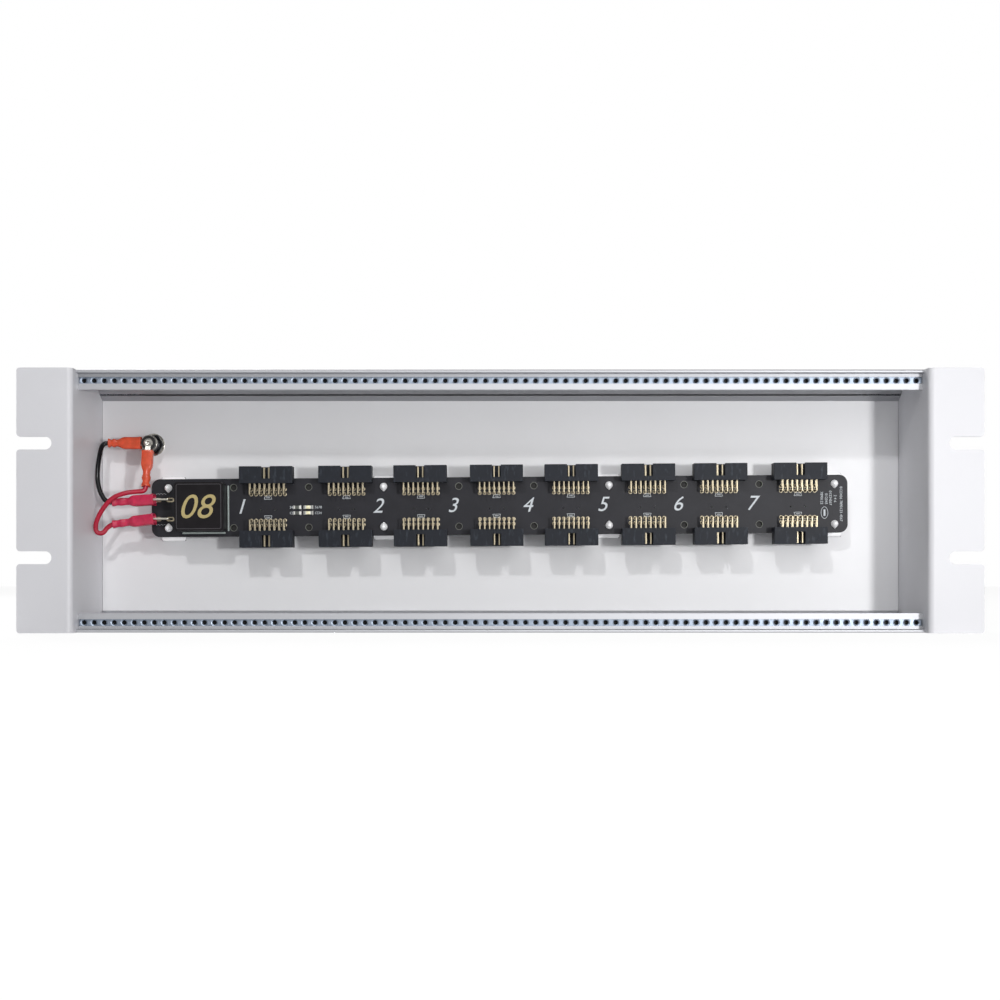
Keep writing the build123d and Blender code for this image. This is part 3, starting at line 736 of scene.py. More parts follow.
def cover_screw_frames():
    """Matrices of the cover's countersunk screws: local Z out of the cover."""
    low, high = corners("cover_screws")
    frames = []
    for face, turn in ((high.z, 0.0), (low.z, math.pi)):
        for depth, across in screw_places("cover_screws", "z", face, "x"):
            spot = Matrix.Translation((across, depth, face))
            frames.append(spot @ Matrix.Rotation(turn, 4, "X"))
    return frames


class CASE_OT_shell(bpy.types.Operator):
    """Finish the folded steel and its screws"""

    bl_idname = "case.shell"
    bl_label = "Steel shell and screws"

    def execute(self, context):
        coat = powder_coated_steel("powder_coated_steel", "powder_coat")
        # Painted light: the cover has the side panels' coat, but its colour is painted lighter,
        # since the back wall is lit more brightly than the ears.
        white = powder_coated_steel("white_powder_coated_steel", "cover_coat")
        for node in ("left_side_panel", "right_side_panel"):
            dress(node, coat, size("edge"))
        dress("wraparound_cover", white)
        zinc = plated("zinc_plated_screw", "screw", rough=0.2, grain=1.2)
        for name, node, screw, spots in (
            ("threaded_rail_screws", "rail_screws", pan_screw(), rail_screw_frames()),
            ("recessed_cover_screws", "cover_screws", countersunk_screw(), cover_screw_frames()),
        ):
            piece(name, copies(screw, spots), zinc, node)
        return {"FINISHED"}


# Rails and threaded strips

def cell_loop(left, right, half_height, level):
    """A loop round a rectangle, its points spaced evenly along each side."""
    per_side = 6
    ring = [
        (right, -half_height), (right, half_height), (left, half_height), (left, -half_height)
    ]
    loop = []
    for k, (x, y) in enumerate(ring):
        end_x, end_y = ring[(k + 1) % 4]
        for step in range(per_side):
            share = step / per_side
            loop.append(Vector((x + (end_x - x) * share, y + (end_y - y) * share, level)))
    return loop


def ring_inside(loop, centre, radius, level):
    """Points at one radius round a centre, in the directions of a loop's points."""
    ring = []
    for point in loop:
        turn = math.atan2(point.y, point.x - centre)
        ring.append(Vector((centre + radius * math.cos(turn), radius * math.sin(turn), level)))
    return ring


def hole_centres(half_length):
    """Places of a strip's tapped holes along it."""
    pitch = size("hole_pitch")
    count = round(2 * half_length / pitch)
    return [(k - (count - 1) / 2) * pitch for k in range(count)]


def tapped_strip(half_length, half_height, thickness):
    """A strip with a row of countersunk, tapped holes; its front lies at local Z = 0."""
    half_pitch = size("hole_pitch") / 2
    centres = hole_centres(half_length)
    wide = size("countersink")
    bore = size("tap_radius")
    crest = 0.86 * bore
    sink = 0.4 * (wide - bore)
    turn = 0.2
    levels = [
        (wide, 0.0), (bore, -sink), (crest, -sink - turn), (bore, -sink - 2 * turn),
        (bore, -thickness),
    ]
    outline = [
        cell_loop(-half_length, half_length, half_height, level) for level in (0.0, -thickness)
    ]
    shapes = [skin(outline)]
    for centre in centres:
        left = -half_length if centre == centres[0] else centre - half_pitch
        right = half_length if centre == centres[-1] else centre + half_pitch
        loops = [cell_loop(left, right, half_height, 0.0)]
        loops += [ring_inside(loops[0], centre, radius, level) for radius, level in levels]
        loops.append(cell_loop(left, right, half_height, -thickness))
        shapes.append(skin(loops))
    return joined(shapes)


def hole_end(radius, thickness, steps=STEPS):
    """A dark disc of painted shade that closes a hole near the back of a sheet whose front is at
    local Z = 0.
    """
    rim = 0.05
    back = 0.1 - thickness
    return turned([(radius, back), (radius - rim, back + rim)], cap_end=True, steps=steps)


class CASE_OT_rails(bpy.types.Operator):
    """Finish the four rails and lay the threaded strips"""

    bl_idname = "case.rails"
    bl_label = "Rails and threaded strips"

    def execute(self, context):
        rail = anodised_aluminium()
        for node in ("front_top_rail", "front_bottom_rail", "rear_top_rail", "rear_bottom_rail"):
            dress(node, rail, size("rail_edge"))
        zinc = plated("zinc_plated_strip", "zinc", rough=0.4)
        dark = hole_inside("tapped_hole_inside")
        for level in ("top", "bottom"):
            node = f"{level}_threaded_strip"
            low, high = corners(node)
            extent = high - low
            front = Matrix.Translation((0, low.y, (low.z + high.z) / 2)) @ FACING
            strip = moved(tapped_strip(extent.x / 2, extent.z / 2, extent.y), front)
            piece(f"{level}_tapped_strip", strip, zinc, node, smooth=20.0)
            # Painted shade: a dark disc closes each tapped hole, standing for the shade in the slot
            # behind the strip.
            shade_disc = hole_end(size("tap_radius"), extent.y, steps=12)
            spots = [Matrix.Translation((x, 0, 0)) for x in hole_centres(extent.x / 2)]
            piece(f"{level}_hole_depths", moved(copies(shade_disc, spots), front), dark)
        return {"FINISHED"}


# Bus board

TAB_PAD = 0.06


def standoff_columns():
    """Middles of the standoffs along the board."""
    return board_runs("board_standoffs", "x", gap=5.0)


def standoff_rows():
    """Middles of the standoffs up the board."""
    return board_runs("board_standoffs", "z", gap=5.0)


def free_columns():
    """Columns of standoff holes that hold no standoff, from the right."""
    columns = standoff_columns()
    pitch = (columns[-1] - columns[-2]) / 3
    return [columns[-1] - pitch * k for k in (1, 2, 4, 5, 7, 8)]


def tab_feet():
    """Places of the tabs' legs: (board x of both legs, board z), for each tab."""
    inside = 0.5
    feet = []
    for node in BOARD_TABS:
        legs = [point.x for point in board_points(node) if point.y > inside]
        feet.append((runs(legs, gap=1.0), board_runs(node, "z", gap=2.0)[0]))
    return feet


def tab_pads():
    """Long plated pads round the tabs' legs."""
    wide = 2.3
    corner = 1.1
    shapes = []
    for legs, row in tab_feet():
        for leg, long in ((legs[0], 3.4), (legs[-1], 4.3)):
            pad = plate(long, wide, corner, 0.0, TAB_PAD)
            shapes.append(moved(pad, on_board(leg + 0.1, row)))
    return joined(shapes)


def tab_slots():
    """Dark slots of painted shade in the pads, where the legs go through."""
    slot = plate(width=2.4, height=1.1, corner=0.5, low=TAB_PAD, high=TAB_PAD + 0.015)
    return copies(slot, [on_board(legs[-1] + 0.3, row) for legs, row in tab_feet()])


def printed(shape, x, z, turn=Matrix.Identity(4)):
    """A shape of ink at a spot on the board's front."""
    return moved(shape, on_board(x, z, size("ink")) @ turn)


def key_mark():
    """Printed outline of a header's key: a trapezoid with a dash, widest towards local -Y."""
    corners_xy = [(-2.0, -0.8), (-1.8, -0.9), (1.8, -0.9), (2.0, -0.8), (1.5, 0.7), (-1.5, 0.7)]
    outline = ribbon(corners_xy, size("line"), closed=True)
    dash = ribbon([(-1.0, -0.1), (1.0, -0.1)], width=0.3)
    return joined([outline, dash])


def header_labels():
    """Key marks at the headers and a large position digit between them."""
    key_row = size("near_row") - 1.65
    digit_row = 0.65
    before_header = 13.5
    before_hole = 2.7
    columns = header_columns()
    shapes = []
    for x in columns:
        shapes.append(printed(key_mark(), x, key_row))
        shapes.append(printed(key_mark(), x, -key_row, HALF_TURN))
    holes = sorted([*free_columns()[:5], *standoff_columns()[1:3]])
    spots = [columns[0] - before_header, *[x - before_hole for x in holes if x > columns[1]]]
    for number, x in enumerate(spots, start=1):
        shapes.append(printed(letters(str(number), size("digit"), SLANT), x, digit_row))
    return shapes


def chip_labels():
    """Small digits beside the LEDs and the resistors, and stepped rows of dashes by the tabs."""
    shapes = []
    for node, shift, texts in (
        ("indicator_leds", 5.3, ("1234", "5678")), ("led_resistors", -3.0, ("12", "34"))
    ):
        for text, (x, row) in zip(texts, chip_spots(node)[0]):
            shapes.append(printed(letters(text, size("small_digit")), x + shift, row))
    first = reach_of("bus_board")[0].x + 2.4
    pitch = 0.8
    for row in (7.4, -8.9):
        for k in range(7):
            step = 0.25 * (k % 2)
            dash = ribbon([(0, step), (0.45, step)], size("line"))
            shapes.append(printed(dash, first + pitch * k, row))
    return shapes


def end_labels():
    """Columns of plain digits, and a pill with a bar in it, at the board's right end."""
    right = reach_of("bus_board")[1].x
    quarter = Matrix.Rotation(-math.pi / 2, 4, "Z")
    shapes = []
    for inset, row, text in (
        (3.4, -0.2, "0123456 7890123 4567"), (6.5, 2.7, "2 4 6"), (9.0, 3.0, "01234567"),
        (11.2, 2.6, "012345"), (13.6, 3.1, "7890123"),
    ):
        shapes.append(printed(letters(text, size("small_digit")), right - inset, row, quarter))
    oval = [(1.8 * point.x, 3.1 * point.y) for point in circle(1.0, 0.0)]
    for mark in (ribbon(oval, size("line"), closed=True), ribbon([(0, -1.7), (0, 1.7)], width=1.0)):
        shapes.append(printed(mark, right - 12.2, -4.7))
    return shapes


class CASE_OT_board(bpy.types.Operator):
    """Finish the bus board: its mask, tabs, pads, hole rims and print"""

    bl_idname = "case.board"
    bl_label = "Bus board"

    def execute(self, context):
        dress("bus_board", solder_mask())
        tin = plated("tin_plate", "tin", rough=0.26, grain=0.8)
        for node in BOARD_TABS:
            dress(node, tin, edge=0.12)
        gold = plated("gold_plated_pad", "gold", rough=0.3, grain=0.8)
        piece("tab_pads", tab_pads(), gold, edge=0.03)
        # Painted shade: dark slots in the tab pads.
        piece("tab_pad_slots", tab_slots(), hole_inside("hole_inside"))
        hole = size("board_hole")
        rim = hole + 0.28
        ring = turned([(rim, 0.0), (rim, size("ink")), (hole, size("ink")), (hole, 0.0)])
        low, high = reach_of("bus_board")
        spots = [on_board(x, z) for x in free_columns() for z in standoff_rows()]
        laminate = moulded("bare_laminate", "laminate", rough=0.5)
        piece("board_hole_rims", copies(ring, spots), laminate)
        # Painted shade: dark discs close the free standoff holes, standing for the shade between
        # the board and the panel.
        shade_discs = copies(hole_end(hole, high.y - low.y), spots)
        piece("board_hole_depths", shade_discs, hole_inside("board_hole_inside"))
        labels = joined(header_labels() + chip_labels() + end_labels())
        piece("board_print", labels, ink("white_board_ink", "print_ink"))
        return {"FINISHED"}


# Box headers

def pad_spots():
    """Matrices of all the header pads: the pins' columns, and two rows above and below."""
    columns = board_runs("upper_header_pins", "x", gap=1.0)
    rows = (size("near_row"), size("far_row"))
    return [on_board(x, side * row) for x in columns for row in rows for side in (-1, 1)]


def pad_rings():
    """Plated rings with a low collar of solder round each hole."""
    outer = size("pad_radius")
    inner = size("pad_hole")
    profile = [
        (outer, 0.0), (outer - 0.04, 0.05), (inner + 0.16, 0.07), (inner + 0.04, 0.16),
        (inner, 0.02),
    ]
    return copies(turned(profile, steps=14), pad_spots())


def pad_holes():
    """Dark discs of painted shade that close the pads' holes."""
    hole = size("pad_hole")
    shade_disc = turned([(hole + 0.02, 0.0), (hole, 0.03)], cap_end=True, steps=10)
    return copies(shade_disc, pad_spots())


def pin_one_marks():
    """Small raised triangles on the lower housings' fronts, near the mouth."""
    outline = [(-0.75, 0.0), (0.75, 0.0), (0.0, 1.3)]
    loops = [[Vector((x, y, level)) for x, y in outline] for level in (-0.02, 0.14)]
    spots = []
    for number, x in enumerate(header_columns(), start=1):
        low = reach_of(f"lower_header_housing_{number}")[0]
        spots.append(on_board(x + 8.9, low.z + 0.9, -low.y))
    return copies(skin(loops, cap_end=True), spots)


class CASE_OT_headers(bpy.types.Operator):
    """Finish the header housings and pins, and lay their pads"""

    bl_idname = "case.headers"
    bl_label = "Box headers"

    def execute(self, context):
        nylon = header_nylon()
        for number in range(1, HEADER_COUNT + 1):
            for level in ("upper", "lower"):
                dress(f"{level}_header_housing_{number}", nylon, size("mould_edge"))
        gold = plated("gold_plated_pin", "gold", rough=0.36, grain=0.8)
        for node in ("upper_header_pins", "lower_header_pins"):
            dress(node, gold, size("pin_edge"), segments=1)
        piece("header_pads", pad_rings(), plated("soldered_pad", "gold", rough=0.36, grain=0.5))
        # Painted shade: dark discs in the pads' holes.
        piece("header_pad_holes", pad_holes(), hole_inside("pad_hole_inside"))
        piece("pin_one_marks", pin_one_marks(), nylon)
        return {"FINISHED"}


# Converter block and indicators

def lid_spot():
    """Matrix at the middle of the converter's lid, one thickness of ink before it."""
    low, high = reach_of("converter_block")
    return on_board((low.x + high.x) / 2, (low.z + high.z) / 2, size("ink") - low.y)


def converter_rim():
    """Thin raised line round the converter's lid, painted lighter as the highlight on the lid's
    rim.
    """
    low, high = reach_of("converter_block")
    side = high.x - low.x - 2.2
    outline = [(point.x, point.y) for point in rounded(side, side, corner=0.9)]
    return moved(ribbon(outline, width=0.2, closed=True), lid_spot())


def converter_outline():
    """Two pale lines with round ends, right of the converter and below it, laid flat on the board
    at ink height.
    """
    low, high = reach_of("converter_block")
    wide = size("converter_line")
    corner = wide / 2 - 0.02
    upright = filled(rounded(wide, high.z - low.z - 1.4, corner))
    level = filled(rounded(high.x - low.x - 2.4, wide, corner))
    return joined([
        printed(upright, high.x + 0.85, (low.z + high.z) / 2 - 0.6),
        printed(level, (low.x + high.x) / 2 + 0.6, low.z - 0.85),
    ])


class CASE_OT_converter(bpy.types.Operator):
    """Finish the converter block, its lid's edge with a painted highlight, its print and the pale
    lines beside it
    """

    bl_idname = "case.converter"
    bl_label = "Converter block"

    def execute(self, context):
        case = moulded(
            "converter_case", "converter", rough=0.3, grain=0.5, depth=0.006, specular=0.2
        )
        dress("converter_block", case, edge=0.5)
        # Painted highlight: the lid's rim is a thin line in a lighter colour.
        edge = moulded("converter_rim", "converter_rim", rough=0.4)
        digits = moved(letters("08", height=12.5, slant=SLANT), lid_spot())
        for name, shape, material in (
            ("converter_rim", converter_rim(), edge),
            ("converter_digits", digits, ink("gilt_ink", "gilt")),
            ("converter_outline", converter_outline(), ink("pale_board_ink", "pale_ink")),
        ):
            piece(name, shape, material)
        return {"FINISHED"}


def chip_spots(node):
    """Places of a node's two chips, and how high they stand."""
    low, high = reach_of(node)
    edges = board_runs(node, "z", gap=0.3)
    rows = [(edges[0] + edges[1]) / 2, (edges[-2] + edges[-1]) / 2]
    return [((low.x + high.x) / 2, row) for row in rows], -low.y


def chip_ends(node, reach):
    """Metal caps over a chip's ends, each with its sloping bead of solder."""
    spots, height = chip_spots(node)
    sections = (
        (1.05, height + 0.03, 0.83), (1.62, height + 0.03, 0.83), (1.8, 0.6 * height, 0.9),
        (reach - 0.25, 0.14, 0.98), (reach, 0.02, 1.0),
    )
    loops = [
        [Vector((x, side * half, level)) for side, level in ((-1, 0), (1, 0), (1, top), (-1, top))]
        for x, top, half in sections
    ]
    end = skin(loops, cap_start=True, cap_end=True)
    places = [on_board(x, row) for x, row in spots]
    return [moved(end, spot) for place in places for spot in (place, place @ HALF_TURN)]


def led_lenses():
    """Low moulded lenses on the LEDs."""
    spots, height = chip_spots("indicator_leds")
    loops = [
        rounded(2.0 - shrink, 1.56 - shrink, 0.2, level)
        for shrink, level in ((0.0, height - 0.1), (0.0, height + 0.1), (0.25, height + 0.22))
    ]
    return copies(skin(loops, cap_end=True), [on_board(x, row) for x, row in spots])


class CASE_OT_indicators(bpy.types.Operator):
    """Finish the LEDs and the resistors"""

    bl_idname = "case.indicators"
    bl_label = "Indicator LEDs"

    def execute(self, context):
        resin = led_resin()
        dress("indicator_leds", resin)
        dress("led_resistors", moulded("glazed_ceramic", "resistor", rough=0.3))
        piece("led_lenses", led_lenses(), resin)
        ends = chip_ends("indicator_leds", 2.5) + chip_ends("led_resistors", 2.1)
        piece("chip_ends", joined(ends), plated("chip_solder", "solder", rough=0.35, grain=0.5))
        return {"FINISHED"}


# Standoffs

def drop(radius, level, point):
    """A loop round local Z with a blunt point towards local -Y."""
    loop = []
    for spot in circle(radius, level):
        lean = max(0.0, -spot.y / radius)
        loop.append(Vector((spot.x * (1 - 0.25 * lean**4), spot.y * (1 + point * lean**6), level)))
    return loop


def standoff():
    """A snap-in standoff: pad, post, collar, neck and a wedge-shaped catch before the board."""
    board = reach_of("bus_board")[1].y
    back = -reach_of("board_standoffs")[1].y
    side = 12.7
    pad = [
        rounded(side - 2 * inset, side - 2 * inset, 1.2, back + rise)
        for inset, rise in ((0.0, 0.0), (0.0, 0.9), (0.3, 1.2))
    ]
    post = turned([
        (3.5, back + 1.2), (2.9, back + 2.2), (2.9, -board - 1.4), (3.5, -board - 0.9),
        (3.5, -board), (1.62, -board), (1.62, 0.0),
    ])
    catch = [
        drop(radius, level, point)
        for radius, level, point in (
            (1.6, 0.0, 0.0), (1.9, 0.15, 0.1), (1.95, 0.7, 0.3), (1.6, 2.2, 0.3),
            (1.1, 3.6, 0.2), (0.7, 4.1, 0.1), (0.3, 4.2, 0.0),
        )
    ]
    return joined([skin(pad, cap_start=True, cap_end=True), post, skin(catch, cap_end=True)])


class CASE_OT_standoffs(bpy.types.Operator):
    """Lay the nylon standoffs and finish their foam pads"""

    bl_idname = "case.standoffs"
    bl_label = "Standoffs"

    def execute(self, context):
        columns = standoff_columns()
        low_row, high_row = standoff_rows()
        spots = []
        for x in columns:
            lower = on_board(x, low_row)
            spots += [on_board(x, high_row), lower if x == columns[-1] else lower @ HALF_TURN]
        # Milky nylon passes light on inside; a little emission, a painted glow, lifts it also where
        # no lamp reaches.
        nylon = moulded("white_nylon", "nylon", rough=0.35, **glowing("nylon", strength=0.24))
        made = copies(standoff(), spots)
        piece("snap_in_standoffs", made, nylon, "board_standoffs")
        dress("standoff_foam_pads", moulded("foam_tape", "foam", rough=0.9, grain=0.5, depth=0.05))
        return {"FINISHED"}


# Supply jack, receptacles and wires

def jack_front():
    """Matrix at the front of the jack's core: local Z towards the viewer."""
    core = middle("jack_core")
    return Matrix.Translation((core.x, corners("jack_core")[0].y, core.z)) @ FACING


def jack_thread():
    """Thread on the jack's bush, between the fronts of the nut and the bush."""
    crest = 4.12
    root = 3.95
    pitch = 0.75
    front, bush, nut = [corners(f"jack_{name}")[0].y for name in ("core", "bush", "nut")]
    loops = thread(crest, root, pitch, front - nut, front - bush, steps=STEPS)
    return moved(skin(loops), jack_front())


def jack_rivet():
    """Rolled rivet head on the centre contact, with its dimple."""
    lug = 0.6
    profile = ((2.3, -0.1), (2.3, 0.12), (2.0, 0.42), (1.4, 0.5), (0.9, 0.3), (0.55, -0.1))
    head = turned([(radius, lug + rise) for radius, rise in profile], cap_end=True)
    return moved(head, jack_front())


class CASE_OT_jack(bpy.types.Operator):
    """Finish the supply jack"""

    bl_idname = "case.jack"
    bl_label = "Supply jack"

    def execute(self, context):
        nickel = plated("nickel_plate", "nickel", rough=0.18, grain=1.5)
        dark = plated("black_nickel_plate", "black_nickel", rough=0.22, grain=1.5)
        for name, finish, edge in (
            ("bush", dark, 0.2), ("nut", dark, 0.3), ("washer", nickel, 0.1),
            ("centre_contact", nickel, 0.08), ("side_contact", nickel, 0.08),
            ("core", moulded("black_phenolic", "phenolic", rough=0.3), 0.25),
        ):
            dress(f"jack_{name}", finish, edge)
        piece("jack_thread", jack_thread(), dark)
        piece("jack_rivet", jack_rivet(), nickel)
        return {"FINISHED"}


def section(width, thickness, square, along):
    """A loop across local X, between an ellipse and a rounded box."""
    count = 32
    power = 2 / (2 + 5 * square)
    loop = []
    for k in range(count):
        turn = 2 * math.pi * k / count
        across = math.copysign(abs(math.cos(turn)) ** power, math.cos(turn))
        through = math.copysign(abs(math.sin(turn)) ** power, math.sin(turn))
        loop.append(Vector((along, width / 2 * across, thickness / 2 * through)))
    return loop


def sleeve(width, thickness, wide, whole):
    """An insulated receptacle's sleeve: its mouth at the origin, its wire end at X = -whole."""
    wall = 1.4
    neck = 3.9
    taper = 2.5
    grip = whole - wide - taper
    # Each section is (distance from the mouth, width, thickness, squareness).
    pocket = [
        (depth, width - wall + flare, thickness - wall + flare, 1.0)
        for depth, flare in ((7.5, 0.0), (0.4, 0.0), (0.0, 0.4))
    ]
    outside = [
        (0.0, width + 0.25, thickness + 0.25, 1.0), (0.25, width + 0.4, thickness + 0.4, 1.0),
        (1.2, width, thickness, 1.0), (wide - 0.8, width, thickness, 1.0),
        (wide + 0.3, width - 0.5, thickness - 0.3, 0.7), (wide + taper, neck, neck, 0.0),
    ]
    for share, swell in (
        (0.1, -0.1), (0.22, -0.25), (0.34, 0.35), (0.44, 0.6), (0.54, 0.35), (0.64, -0.3),
        (0.74, -0.35), (0.84, 0.25), (0.93, 0.7), (1.0, 0.75),
    ):
        outside.append((wide + taper + grip * share, neck + 1.15 * swell, neck + 0.5 * swell, 0.2))
    inside = [(whole, 3.3, 3.1, 0.0), (whole - 2.0, 2.7, 2.7, 0.0)]
    loops = [
        section(across, through, square, -along)
        for along, across, through, square in pocket + outside + inside
    ]
    return skin(loops, cap_start=True, cap_end=True)


def board_receptacle(tab, turn):
    """Matrix of a receptacle on one of the board's tabs, turned by degrees."""
    blade_width = 6.35
    low, high = reach_of(tab)
    spot = Matrix.Translation((
        reach_of("bus_board")[0].x + 2.5, low.y + blade_width / 2, (low.z + high.z) / 2
    ))
    return BOARD @ spot @ Matrix.Rotation(math.radians(-turn), 4, "Y")


def side_receptacle():
    """Matrix of the receptacle on the jack's side lug."""
    core = middle("jack_core")
    spot = Matrix.Translation((core.x - 4.2, middle("jack_side_contact").y, core.z))
    return spot @ Matrix.Rotation(math.pi / 2, 4, "X")


def down_receptacle():
    """Matrix of the receptacle on the jack's lower lug, which leans towards the viewer."""
    core = middle("jack_core")
    lug = Matrix.Translation((core.x, corners("jack_core")[0].y - 0.3, core.z))
    lean = Matrix.Rotation(math.radians(-13.6), 4, "X")
    down = Matrix.Translation((0, 0, -4.7)) @ Matrix.Rotation(-math.pi / 2, 4, "Y")
    return lug @ lean @ down @ Matrix.Rotation(math.pi / 2, 4, "X")


class CASE_OT_receptacles(bpy.types.Operator):
    """Lay the four vinyl sleeves and finish the contacts inside them"""

    bl_idname = "case.receptacles"
    bl_label = "Crimp receptacles"

    def execute(self, context):
        crimson = "crimson_vinyl"
        orange = "orange_red_vinyl"
        films = {crimson: vinyl(crimson, "crimson"), orange: vinyl(orange, "orange")}
        tin = plated("tinned_brass", "tin", rough=0.28, grain=0.8)
        at_board = (8.4, 5.8, 11.0, 22.0)
        for name, spot, film, shape in (
            ("negative_board_crimp", board_receptacle(BOARD_TABS[0], turn=3.3), crimson, at_board),
            ("positive_board_crimp", board_receptacle(BOARD_TABS[1], turn=7.0), crimson, at_board),
            ("side_lug_crimp", side_receptacle(), orange, (6.3, 4.4, 9.4, 17.2)),
            ("down_lug_crimp", down_receptacle(), orange, (5.8, 4.4, 8.6, 19.4)),
        ):
            made = moved(sleeve(*shape), spot)
            piece(f"{name}_vinyl", made, films[film], f"{name}_sleeve", smooth=60.0)
            dress(f"{name}_contact", tin)
        return {"FINISHED"}


# Points of the wires' routes, in metres, chosen along the photographed wires.
BLACK_ROUTE = (
    (-0.2074, 0.0174, 0.09895), (-0.2106, 0.0174, 0.09895), (-0.2112, 0.0140, 0.09325),
    (-0.2116, 0.0112, 0.08625), (-0.2113, 0.0090, 0.07775), (-0.2092, 0.0087, 0.07105),
    (-0.20637, 0.00972, 0.06701), (-0.20338, 0.00972, 0.0672),
)
RED_ROUTE = (
    (-0.1860, 0.00963, 0.07553), (-0.1860, 0.00902, 0.0730), (-0.1912, 0.0077, 0.07275),
    (-0.1970, 0.0066, 0.07185), (-0.2033, 0.0062, 0.06925), (-0.2086, 0.0064, 0.06265),
    (-0.2117, 0.0071, 0.0564), (-0.2119, 0.0079, 0.0514), (-0.2083, 0.0089, 0.0506),
    (-0.2060, 0.0096, 0.0545), (-0.20317, 0.00972, 0.05569),
)


def lay_wire(node, route, material):
    """A wire along its route from receptacle to receptacle."""
    name = f"{node}_curve"
    curve = bpy.data.curves.new(name, "CURVE")
    curve.dimensions = "3D"
    spline = curve.splines.new("NURBS")
    spline.points.add(len(route) - 1)
    for point, spot in zip(spline.points, route):
        point.co = (*spot, 1.0)
    spline.order_u = 3
    spline.use_endpoint_u = True
    spline.resolution_u = 12
    curve.bevel_depth = size("wire") * MM / 2
    curve.bevel_resolution = 6
    curve.use_fill_caps = True
    curve.materials.append(material)
    wire = put(name, curve)
    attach(wire, ROOT)
    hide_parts(node)
    size("wire") * MM


class CASE_OT_wires(bpy.types.Operator):
    """Lay the two supply wires"""

    bl_idname = "case.wires"
    bl_label = "Supply wires"

    def execute(self, context):
        black = moulded("black_pvc", "black_wire", rough=0.16, grain=1.0, specular=0.3)
        red = moulded("red_pvc", "red_wire", rough=0.26, grain=1.0)
        lay_wire("black_wire", BLACK_ROUTE, black)
        lay_wire("red_wire", RED_ROUTE, red)
        return {"FINISHED"}


# Stage

FILL = 0.06
GLOSS = 0.3
# Each lamp's name, place, target and width in metres, and its power in watts.
LAMPS = (
    ("right_box", (0.405, -0.80, 0.06), (0.0, 0.0, 0.06), 0.06, 2.75),
    ("front_box", (0.25, -0.90, 0.40), (0.15, 0.0, 0.06), 0.6, 2.3),
    ("left_box", (-0.24, -1.30, 0.92), (0.0, 0.0, 0.06), 0.08, 5.0),
    ("rear_box", (-0.60, 1.10, 1.25), (0.0, 0.03, 0.08), 0.6, 15.0),
)


def blended(tree, share, first, second):
    """A shader between two, by a value."""
    return add(tree, "ShaderNodeMixShader", {0: share, 1: first, 2: second}).outputs[0]


def seen_by(tree, *rays):
    """1 where one of the named rays asks, otherwise 0."""
    path = add(tree, "ShaderNodeLightPath")
    total = path.outputs[rays[0]]
    for ray in rays[1:]:
        both = {0: total, 1: path.outputs[ray]}
        total = add(tree, "ShaderNodeMath", both, operation="MAXIMUM").outputs[0]
    return total


def make_floor():
    """Pale floor: plain white to the camera, with a trace of the case's shadow."""
    reach = 4.0
    white_share = 0.9
    glow = 1.05
    under = 0.0002
    material = bpy.data.materials.new("pale_floor")
    tree = empty_tree(material)
    matt = add(tree, "ShaderNodeBsdfDiffuse", Color=linear("F2F2F3")).outputs[0]
    white = add(tree, "ShaderNodeEmission", Color=(1, 1, 1, 1), Strength=glow).outputs[0]
    share = spread(tree, seen_by(tree, "Is Camera Ray", "Is Glossy Ray"), 0.0, white_share)
    add(tree, "ShaderNodeOutputMaterial", {"Surface": blended(tree, share, matt, white)})
    mesh = bpy.data.meshes.new("pale_floor")
    signs = ((-1, -1), (1, -1), (1, 1), (-1, 1))
    mesh.from_pydata([(x * reach, y * reach, 0) for x, y in signs], [], [(0, 1, 2, 3)])
    mesh.materials.append(material)
    floor = put("pale_floor", mesh)
    floor.location.z = -under


def make_world():
    """White where the camera looks, and a plain fill as light."""
    world = bpy.data.worlds.new("studio")
    bpy.context.scene.world = world
    tree = empty_tree(world)
    fill, sheen, white = [
        add(tree, "ShaderNodeBackground", Color=(1, 1, 1, 1), Strength=strength).outputs[0]
        for strength in (FILL, GLOSS, 1.0)
    ]
    lit = blended(tree, seen_by(tree, "Is Glossy Ray"), fill, sheen)
    shown = blended(tree, seen_by(tree, "Is Camera Ray"), lit, white)
    add(tree, "ShaderNodeOutputWorld", {"Surface": shown})


def make_lamps():
    """Soft boxes round the camera."""
    for name, spot, target, width, power in LAMPS:
        lamp = bpy.data.lights.new(name, "AREA")
        lamp.size = width
        lamp.energy = power
        holder = put(name, lamp)
        holder.location = spot
        aim = Vector(target) - Vector(spot)
        holder.rotation_euler = aim.to_track_quat("-Z", "Y").to_euler()


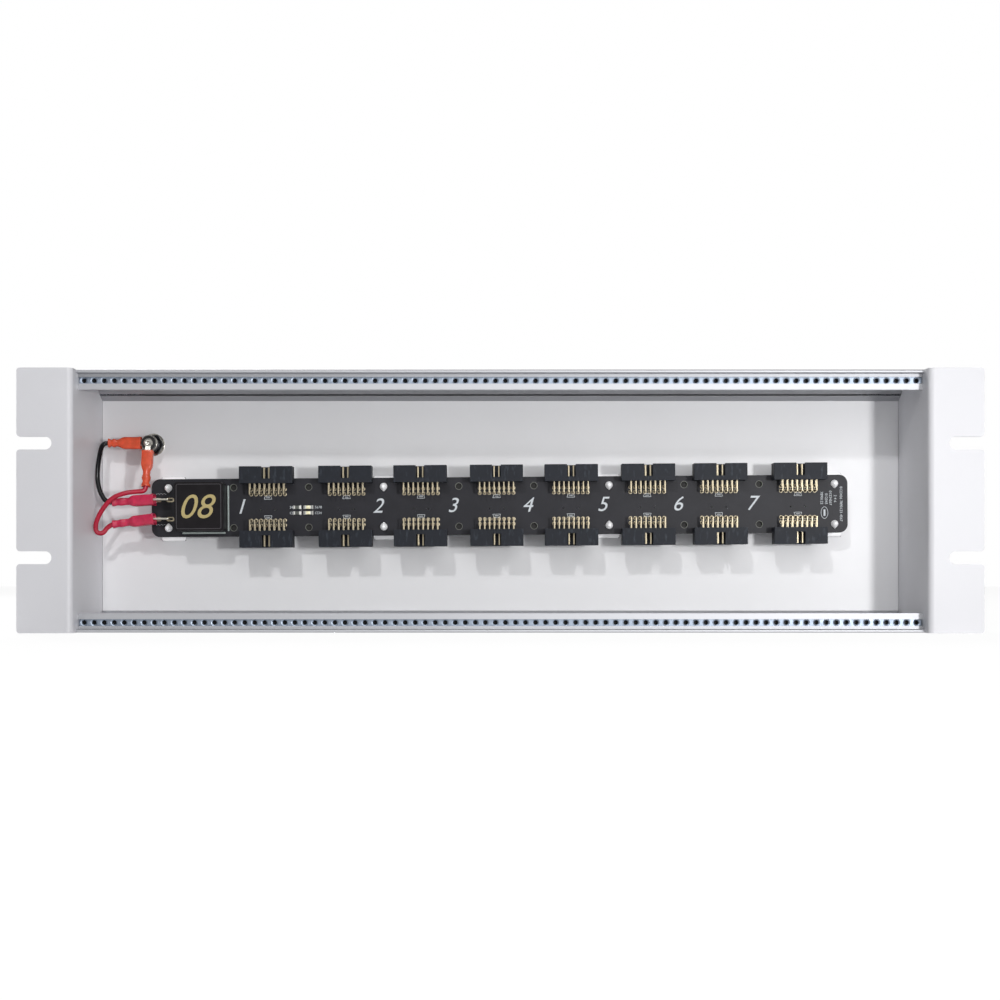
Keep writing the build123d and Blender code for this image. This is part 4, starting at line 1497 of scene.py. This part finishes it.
def make_camera():
    """Level camera before the lower half of the case, shifted up as in the photograph."""
    away = 0.785
    height = 0.0279
    lens = bpy.data.cameras.new("camera")
    lens.sensor_width = 36.0
    lens.lens = 56.7
    lens.shift_x = -0.0004
    lens.shift_y = 0.0773
    lens.clip_start = 0.01
    camera = put("camera", lens)
    camera.location = (0.0, cad_box[0].y - away, height)
    camera.rotation_euler = (math.radians(90), 0, 0)
    bpy.context.scene.camera = camera


class CASE_OT_stage(bpy.types.Operator):
    """Lay the floor, hang the lamps and set the camera"""

    bl_idname = "case.stage"
    bl_label = "Floor, light and camera"

    def execute(self, context):
        make_floor()
        make_world()
        make_lamps()
        make_camera()
        context.scene.view_settings.view_transform = "Standard"
        return {"FINISHED"}


OPERATORS = (
    CASE_OT_shell, CASE_OT_rails, CASE_OT_board, CASE_OT_headers, CASE_OT_converter,
    CASE_OT_indicators, CASE_OT_standoffs, CASE_OT_jack, CASE_OT_receptacles, CASE_OT_wires,
    CASE_OT_stage,
)


class CASE_PT_panel(bpy.types.Panel):
    """The case's steps, in order, with their sizes and colours"""

    bl_idname = "CASE_PT_panel"
    bl_label = "Modular synthesizer case"
    bl_space_type = "VIEW_3D"
    bl_region_type = "UI"
    bl_category = "Case"

    def draw(self, context):
        for operator in OPERATORS:
            self.layout.operator(operator.bl_idname)
        for group in (context.scene.case_sizes, context.scene.case_colours):
            for name in group.__annotations__:
                self.layout.prop(group, name)


CLASSES = (CaseSizes, CaseColours, *OPERATORS, CASE_PT_panel)


def register():
    """Register the classes and the scene's settings."""
    for cls in CLASSES:
        bpy.utils.register_class(cls)
    bpy.types.Scene.case_sizes = bpy.props.PointerProperty(type=CaseSizes)
    bpy.types.Scene.case_colours = bpy.props.PointerProperty(type=CaseColours)


def unregister():
    """Take the classes and the scene's settings away again."""
    del bpy.types.Scene.case_colours
    del bpy.types.Scene.case_sizes
    for cls in reversed(CLASSES):
        bpy.utils.unregister_class(cls)


def main():
    """Run every step in order."""
    register()
    bpy.ops.case.shell()
    bpy.ops.case.rails()
    bpy.ops.case.board()
    bpy.ops.case.headers()
    bpy.ops.case.converter()
    bpy.ops.case.indicators()
    bpy.ops.case.standoffs()
    bpy.ops.case.jack()
    bpy.ops.case.receptacles()
    bpy.ops.case.wires()
    bpy.ops.case.stage()


if __name__ == "__main__":
    main()
